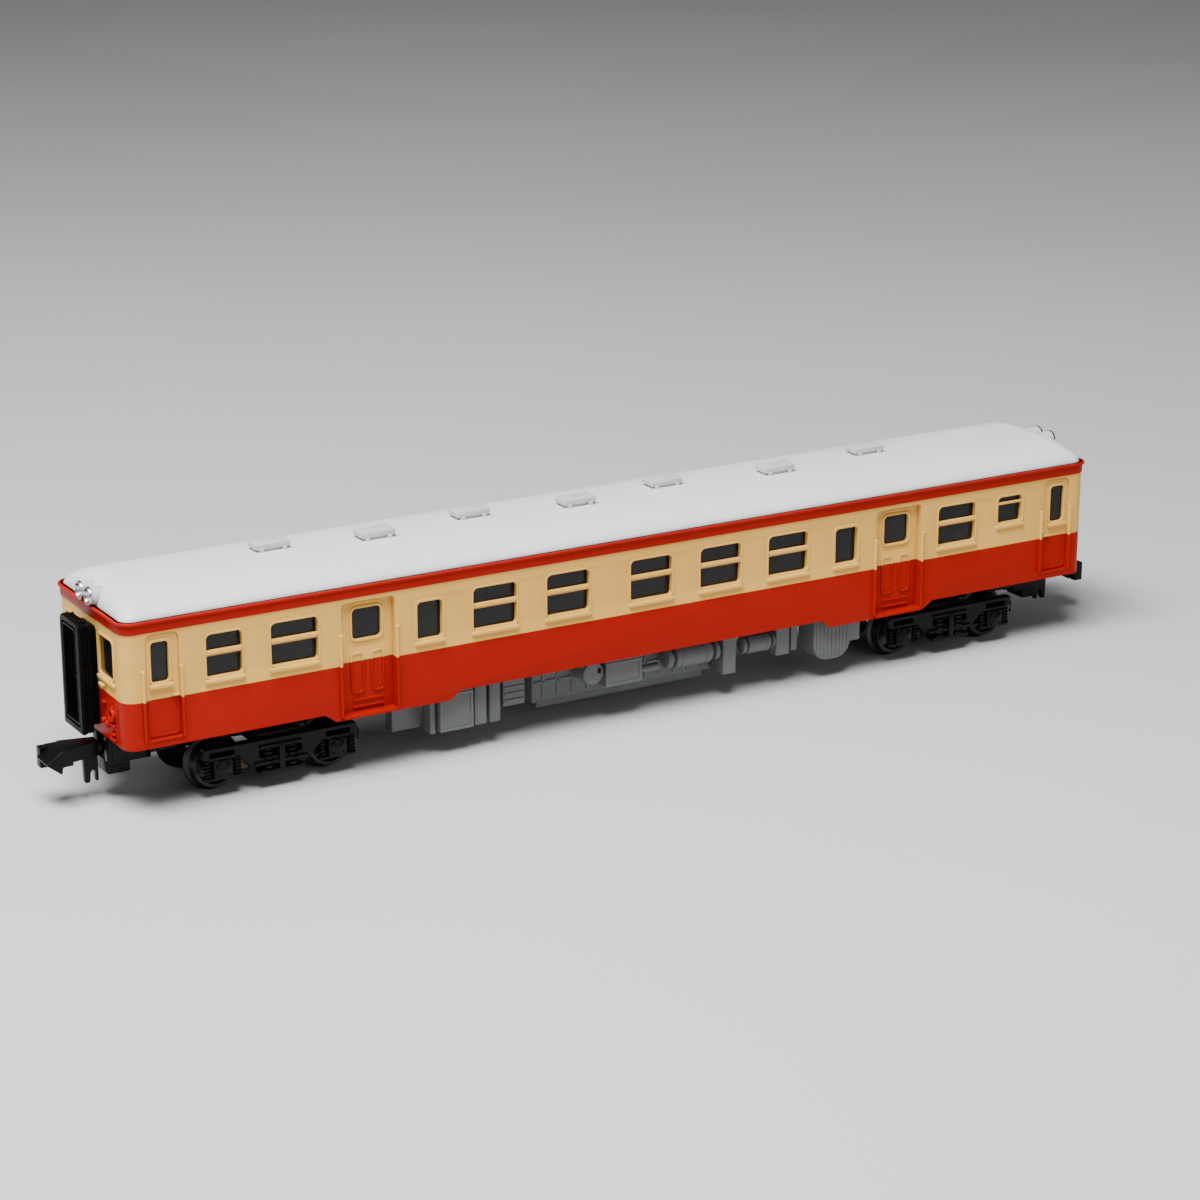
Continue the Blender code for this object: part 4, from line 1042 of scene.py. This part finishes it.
def side_frame(bm, side):
    """One side of a bogie: frame, backing plate, axle boxes, coil springs, brake gear and steps."""
    inner, outer = 6.4, 7.3
    flat = lambda p: (p[0], side * p[2], p[1])
    across = lambda y0, y1: (side * y0, side * y1)
    outline = mirrored([(9.1, 5.35), (9.5, 5.0), (9.35, 4.2), (8.8, 3.9), (5.3, 3.9), (4.7, 3.6),
                        (4.0, 3.0), (3.4, 2.6)])
    windows = [rounded(-2.6, 2.6, 3.3, 4.3, 0.3), rounded(-8.6, -5.6, 4.35, 4.9, 0.2),
               rounded(5.6, 8.6, 4.35, 4.9, 0.2)]
    add(bm, slab([outline] + windows, inner, outer, 0.12, 3), flat)
    add(bm, slab([rounded(-9.3, 9.3, 5.05, 5.45, 0.12)], inner, outer + 0.2, 0.1, 3), flat)
    add(bm, slab([rounded(-3.3, 3.3, 2.45, 2.85, 0.12)], inner, outer + 0.3, 0.1, 3), flat)
    back = mirrored([(9.0, 5.3), (9.2, 4.3), (8.3, 3.9), (8.0, 1.9), (6.0, 1.9), (5.5, 3.3), (4.0, 3.1),
                     (3.3, 1.7)])
    journals = [circle(x, AXLE_Z, 0.6, 16) for x in (-AXLE_X, AXLE_X)]
    add(bm, slab([back] + journals, 6.22, 6.5, 0.05), flat)
    for x in (-AXLE_X, AXLE_X):
        axle_box(bm, side, x)
        for dx in (-1.75, 1.75):
            coil(bm, (x + dx, side * 6.95, 1.95), 0.42, 0.11, 2.1, 5)
            seat = [(0.0, 1.72), (0.55, 1.72), (0.6, 1.95), (0.25, 2.0), (0.25, 3.95)]
            turned(bm, seat, 'Z', (x + dx, side * 6.95, 0.0), 16)
        block(bm, (x - 2.3, x + 2.3), across(6.5, 7.3), (1.62, 1.9), 0.08)
    for x in (-1.45, 1.45):
        coil(bm, (x, side * 6.95, 1.75), 0.62, 0.16, 2.7, 5)
    block(bm, (-2.7, 2.7), across(6.2, 7.65), (1.4, 1.8), 0.1)
    block(bm, (-2.6, 2.6), across(6.2, 7.6), (4.35, 4.75), 0.1)
    block(bm, (-0.35, 0.35), across(7.2, 7.72), (1.7, 4.6), 0.1)
    for x in (-1, 1):
        link = [(x * 3.4, side * 6.9, 4.2), (x * 3.55, side * 7.0, 3.0), (x * 3.7, side * 7.0, 2.2)]
        pipe(bm, link, 0.17, 8)
        block(bm, (x * 3.35, x * 3.95), across(3.9, 5.3), (2.1, 4.2), 0.15)
        block(bm, (x * 3.2, x * 3.6), across(5.0, 6.9), (3.9, 4.3), 0.08)
        guard = [(x * 9.3, side * 6.9, 4.8), (x * 9.75, side * 6.9, 4.4), (x * 9.7, side * 6.9, 3.2)]
        pipe(bm, guard, 0.16, 8)


def axle_box(bm, side, x):
    """A square box with a round cover held by four bolts."""
    block(bm, (x - 1.15, x + 1.15), (side * 6.4, side * 7.45), (1.75, 3.95), 0.18, 3)
    cover = [(1.02, 7.3), (1.02, 7.55), (0.86, 7.66), (0.5, 7.68), (0.42, 7.74), (0.0, 7.75)]
    turned(bm, [(r, side * y) for r, y in cover], 'Y', (x, 0.0, AXLE_Z), 28)
    bolt = [(0.0, 7.8 * side), (0.1, 7.78 * side), (0.13, 7.6 * side)]
    for dx in (-0.62, 0.62):
        for dz in (0.62, -0.62):
            turned(bm, bolt, 'Y', (x + dx, 0.0, AXLE_Z + dz), 8)


def wheelset(number):
    """Stub axle with turned collars, and two wheels with coned treads and dished faces."""
    body = "wheelset_" + str(number)
    place = Vector(JOINTS[body + "_spin"]["pos_m"]) / MM - Vector((0.0, 0.0, RAIL_HEAD))
    bm = bmesh.new()
    half = [(0.0, 6.85), (0.12, 6.83), (0.42, 6.6), (0.45, 6.5), (0.45, 5.95), (0.55, 5.85),
            (0.73, 5.8), (0.73, 3.3), (0.62, 3.1), (0.62, 0.0)]
    turned(bm, half + [(r, -y) for r, y in reversed(half[:-1])], 'Y', place, 32)
    finish_piece("axle_" + str(number) + "_turned", bm, MATS["steel"], body, ["axle_" + str(number)])
    for word in ("left", "right"):
        node = "wheel_" + str(number) + "_" + word
        low, high = box_mm(node)
        side = math.copysign(1.0, (low.y + high.y) / 2)
        back = min(abs(low.y), abs(high.y))
        face = back + 1.75
        flange = [(0.8, back), (1.5, back), (1.6, back + 0.12), (2.3, back + 0.12), (2.45, back),
                  (3.05, back), (3.28, back + 0.05), (3.38, back + 0.16), (3.4, back + 0.26),
                  (3.34, back + 0.38), (3.1, back + 0.5), (2.9, back + 0.56), (2.84, back + 0.66)]
        front = [(2.74, face - 0.12), (2.7, face - 0.02), (2.6, face), (2.32, face), (2.24, face - 0.06),
                 (2.1, face - 0.34), (1.5, face - 0.42), (1.3, face - 0.34), (1.2, face - 0.08),
                 (1.12, face), (0.9, face), (0.8, face - 0.05), (0.8, back)]
        bm = bmesh.new()
        turned(bm, [(r, side * y) for r, y in flange + front], 'Y', place, 64)
        finish_piece(node + "_turned", bm, MATS["tread"], body, [node], sharp=30)


def coupler(end):
    """Hook coupler: a nose that slopes both ways to an edge, a barb, a web with two pegs, a round tail."""
    half = 2.1
    bm = bmesh.new()
    beak = [(-25.5, 5.12), (-25.42, 4.95), (-23.85, 3.72), (-23.72, 3.7), (-23.62, 4.4), (-23.4, 4.5),
            (-22.4, 4.5), (-22.4, 6.3), (-23.62, 6.3), (-23.8, 6.22)]
    add(bm, slab([beak], -half, 1.1, 0.07, 3), to_side)
    add(bm, slab([rounded(-25.1, -23.9, 3.65, 6.05, 0.12)], 1.0, half, 0.08, 3), to_side)
    block(bm, (-24.2, -22.4), (0.9, half), (4.55, 6.1), 0.1)
    arm = [(-22.9, -1.6), (-18.95, -0.75), (-18.95, 0.75), (-22.9, 1.6)]
    add(bm, slab([arm], 4.6, 6.4, 0.12, 3), tuple)
    block(bm, (-19.3, -16.2), (-0.55, 0.55), (4.95, 5.95), 0.08)
    tail = [(0.0, 4.8), (1.18, 4.8), (1.3, 4.92), (1.3, 5.88), (1.18, 6.0), (0.0, 6.0)]
    turned(bm, tail, 'Z', (-16.4, 0.0, 0.0), 32)
    web = [(-20.5, 1.55), (-20.35, 1.45), (-20.05, 1.45), (-19.9, 1.55), (-19.82, 2.6), (-19.6, 2.85),
           (-19.4, 2.85), (-19.25, 2.6), (-19.2, 1.55), (-19.0, 1.5), (-18.9, 1.6), (-18.95, 4.8),
           (-20.6, 4.8)]
    add(bm, slab([web], -0.35, 0.35, 0.08, 3), to_side)
    finish_piece("hook_" + end, bm, MATS["black"], "coupler_hook_" + end, ["coupler_" + end],
                 BOGIE_TURNS[end])


# ---- CAD pieces that keep their shape ----
def finish_cad(nodes, mat, width):
    """Give a CAD node its material and a fine rounded edge."""
    for node in nodes:
        obj = frame["nodes"][node]
        obj.data.materials.clear()
        obj.data.materials.append(mat)
        edge = obj.modifiers.new("edge", 'BEVEL')
        edge.width = width * MM
        edge.segments = 2
        edge.limit_method = 'ANGLE'
        edge.angle_limit = math.radians(40)


body_shell()
side_glazing(-1, "window_strip_left", "glazing_left")
side_glazing(1, "window_strip_right", "glazing_right")
roof()
vents()
equipment()
for end in ("front", "rear"):
    cab_glazing(end)
    gangway(end)
    headlamps(end)
    bogie(end)
    coupler(end)
for number in range(1, 5):
    wheelset(number)
for prefix, key, edge in (("underframe", "floor", 0.08), ("seat_unit", "seat", 0.12),
                          ("ballast_weight", "ballast", 0.1), ("contact_strip", "bronze", 0.03),
                          ("coupler_spring", "bronze", 0.005), ("light_board", "board", 0.05),
                          ("led_", "led", 0.08), ("contact_plate", "tarnished", 0.03)):
    finish_cad([n for n in frame["nodes"] if n.startswith(prefix)], MATS[key], edge)


# ---- floor, light and camera ----
FLOOR_HALF = 3.0
WORLD_COLOUR = (0.80, 0.82, 0.86, 1.0)
WORLD_STRENGTH = 0.18
LIGHT_TARGET = (0.0, 0.0, 0.012)
# Area lights: name, place, (width, height), power.
LIGHTS = (
    ("key", (-0.16, -0.11, 0.40), (0.34, 0.16), 5.6),
    ("side_fill", (0.12, -0.55, 0.20), (0.5, 0.2), 0.5),
    ("end_fill", (-0.5, 0.14, 0.26), (0.2, 0.2), 0.3),
)
CAMERA_PLACE = (-0.18442, -0.31368, 0.12953)
CAMERA_TARGET = (-0.0005, 0.0, 0.0125)
CAMERA_LENS = 96.0
CAMERA_SENSOR = 36.0


def stage_floor():
    """A plain pale card under the coach."""
    mesh = bpy.data.meshes.new("floor")
    size = FLOOR_HALF
    corners = [(-size, -size, 0), (size, -size, 0), (size, size, 0), (-size, size, 0)]
    mesh.from_pydata(corners, [], [(0, 1, 2, 3)])
    n = Nodes("floor_card")
    tone = n.spread(n.noise(6.0), 0.0, 1.0)
    n.link(n.mix(tone, (0.50, 0.50, 0.51), (0.54, 0.54, 0.55)), n.shader.inputs["Base Color"])
    n.shader.inputs["Roughness"].default_value = 0.75
    mesh.materials.append(n.mat)
    floor = bpy.data.objects.new("floor", mesh)
    bpy.context.collection.objects.link(floor)


def aimed(obj, place, target):
    """Put a lamp or the camera at place, looking at target."""
    obj.location = place
    obj.rotation_euler = (Vector(target) - Vector(place)).to_track_quat('-Z', 'Y').to_euler()
    bpy.context.collection.objects.link(obj)


def light_and_camera():
    """Soft light from above the front end, two weak fills, and the photograph's viewpoint."""
    world = bpy.data.worlds.new("studio")
    world.use_nodes = True
    background = world.node_tree.nodes["Background"]
    background.inputs["Color"].default_value = WORLD_COLOUR
    background.inputs["Strength"].default_value = WORLD_STRENGTH
    bpy.context.scene.world = world
    for name, place, size, power in LIGHTS:
        data = bpy.data.lights.new(name, 'AREA')
        data.shape = 'RECTANGLE'
        data.size, data.size_y = size
        data.energy = power
        aimed(bpy.data.objects.new(name, data), place, LIGHT_TARGET)

    camera_data = bpy.data.cameras.new("camera")
    camera = bpy.data.objects.new("camera", camera_data)
    aimed(camera, CAMERA_PLACE, CAMERA_TARGET)
    camera_data.sensor_width = CAMERA_SENSOR
    camera_data.lens = CAMERA_LENS
    camera_data.clip_start = 0.01
    bpy.context.scene.camera = camera


stage_floor()
light_and_camera()
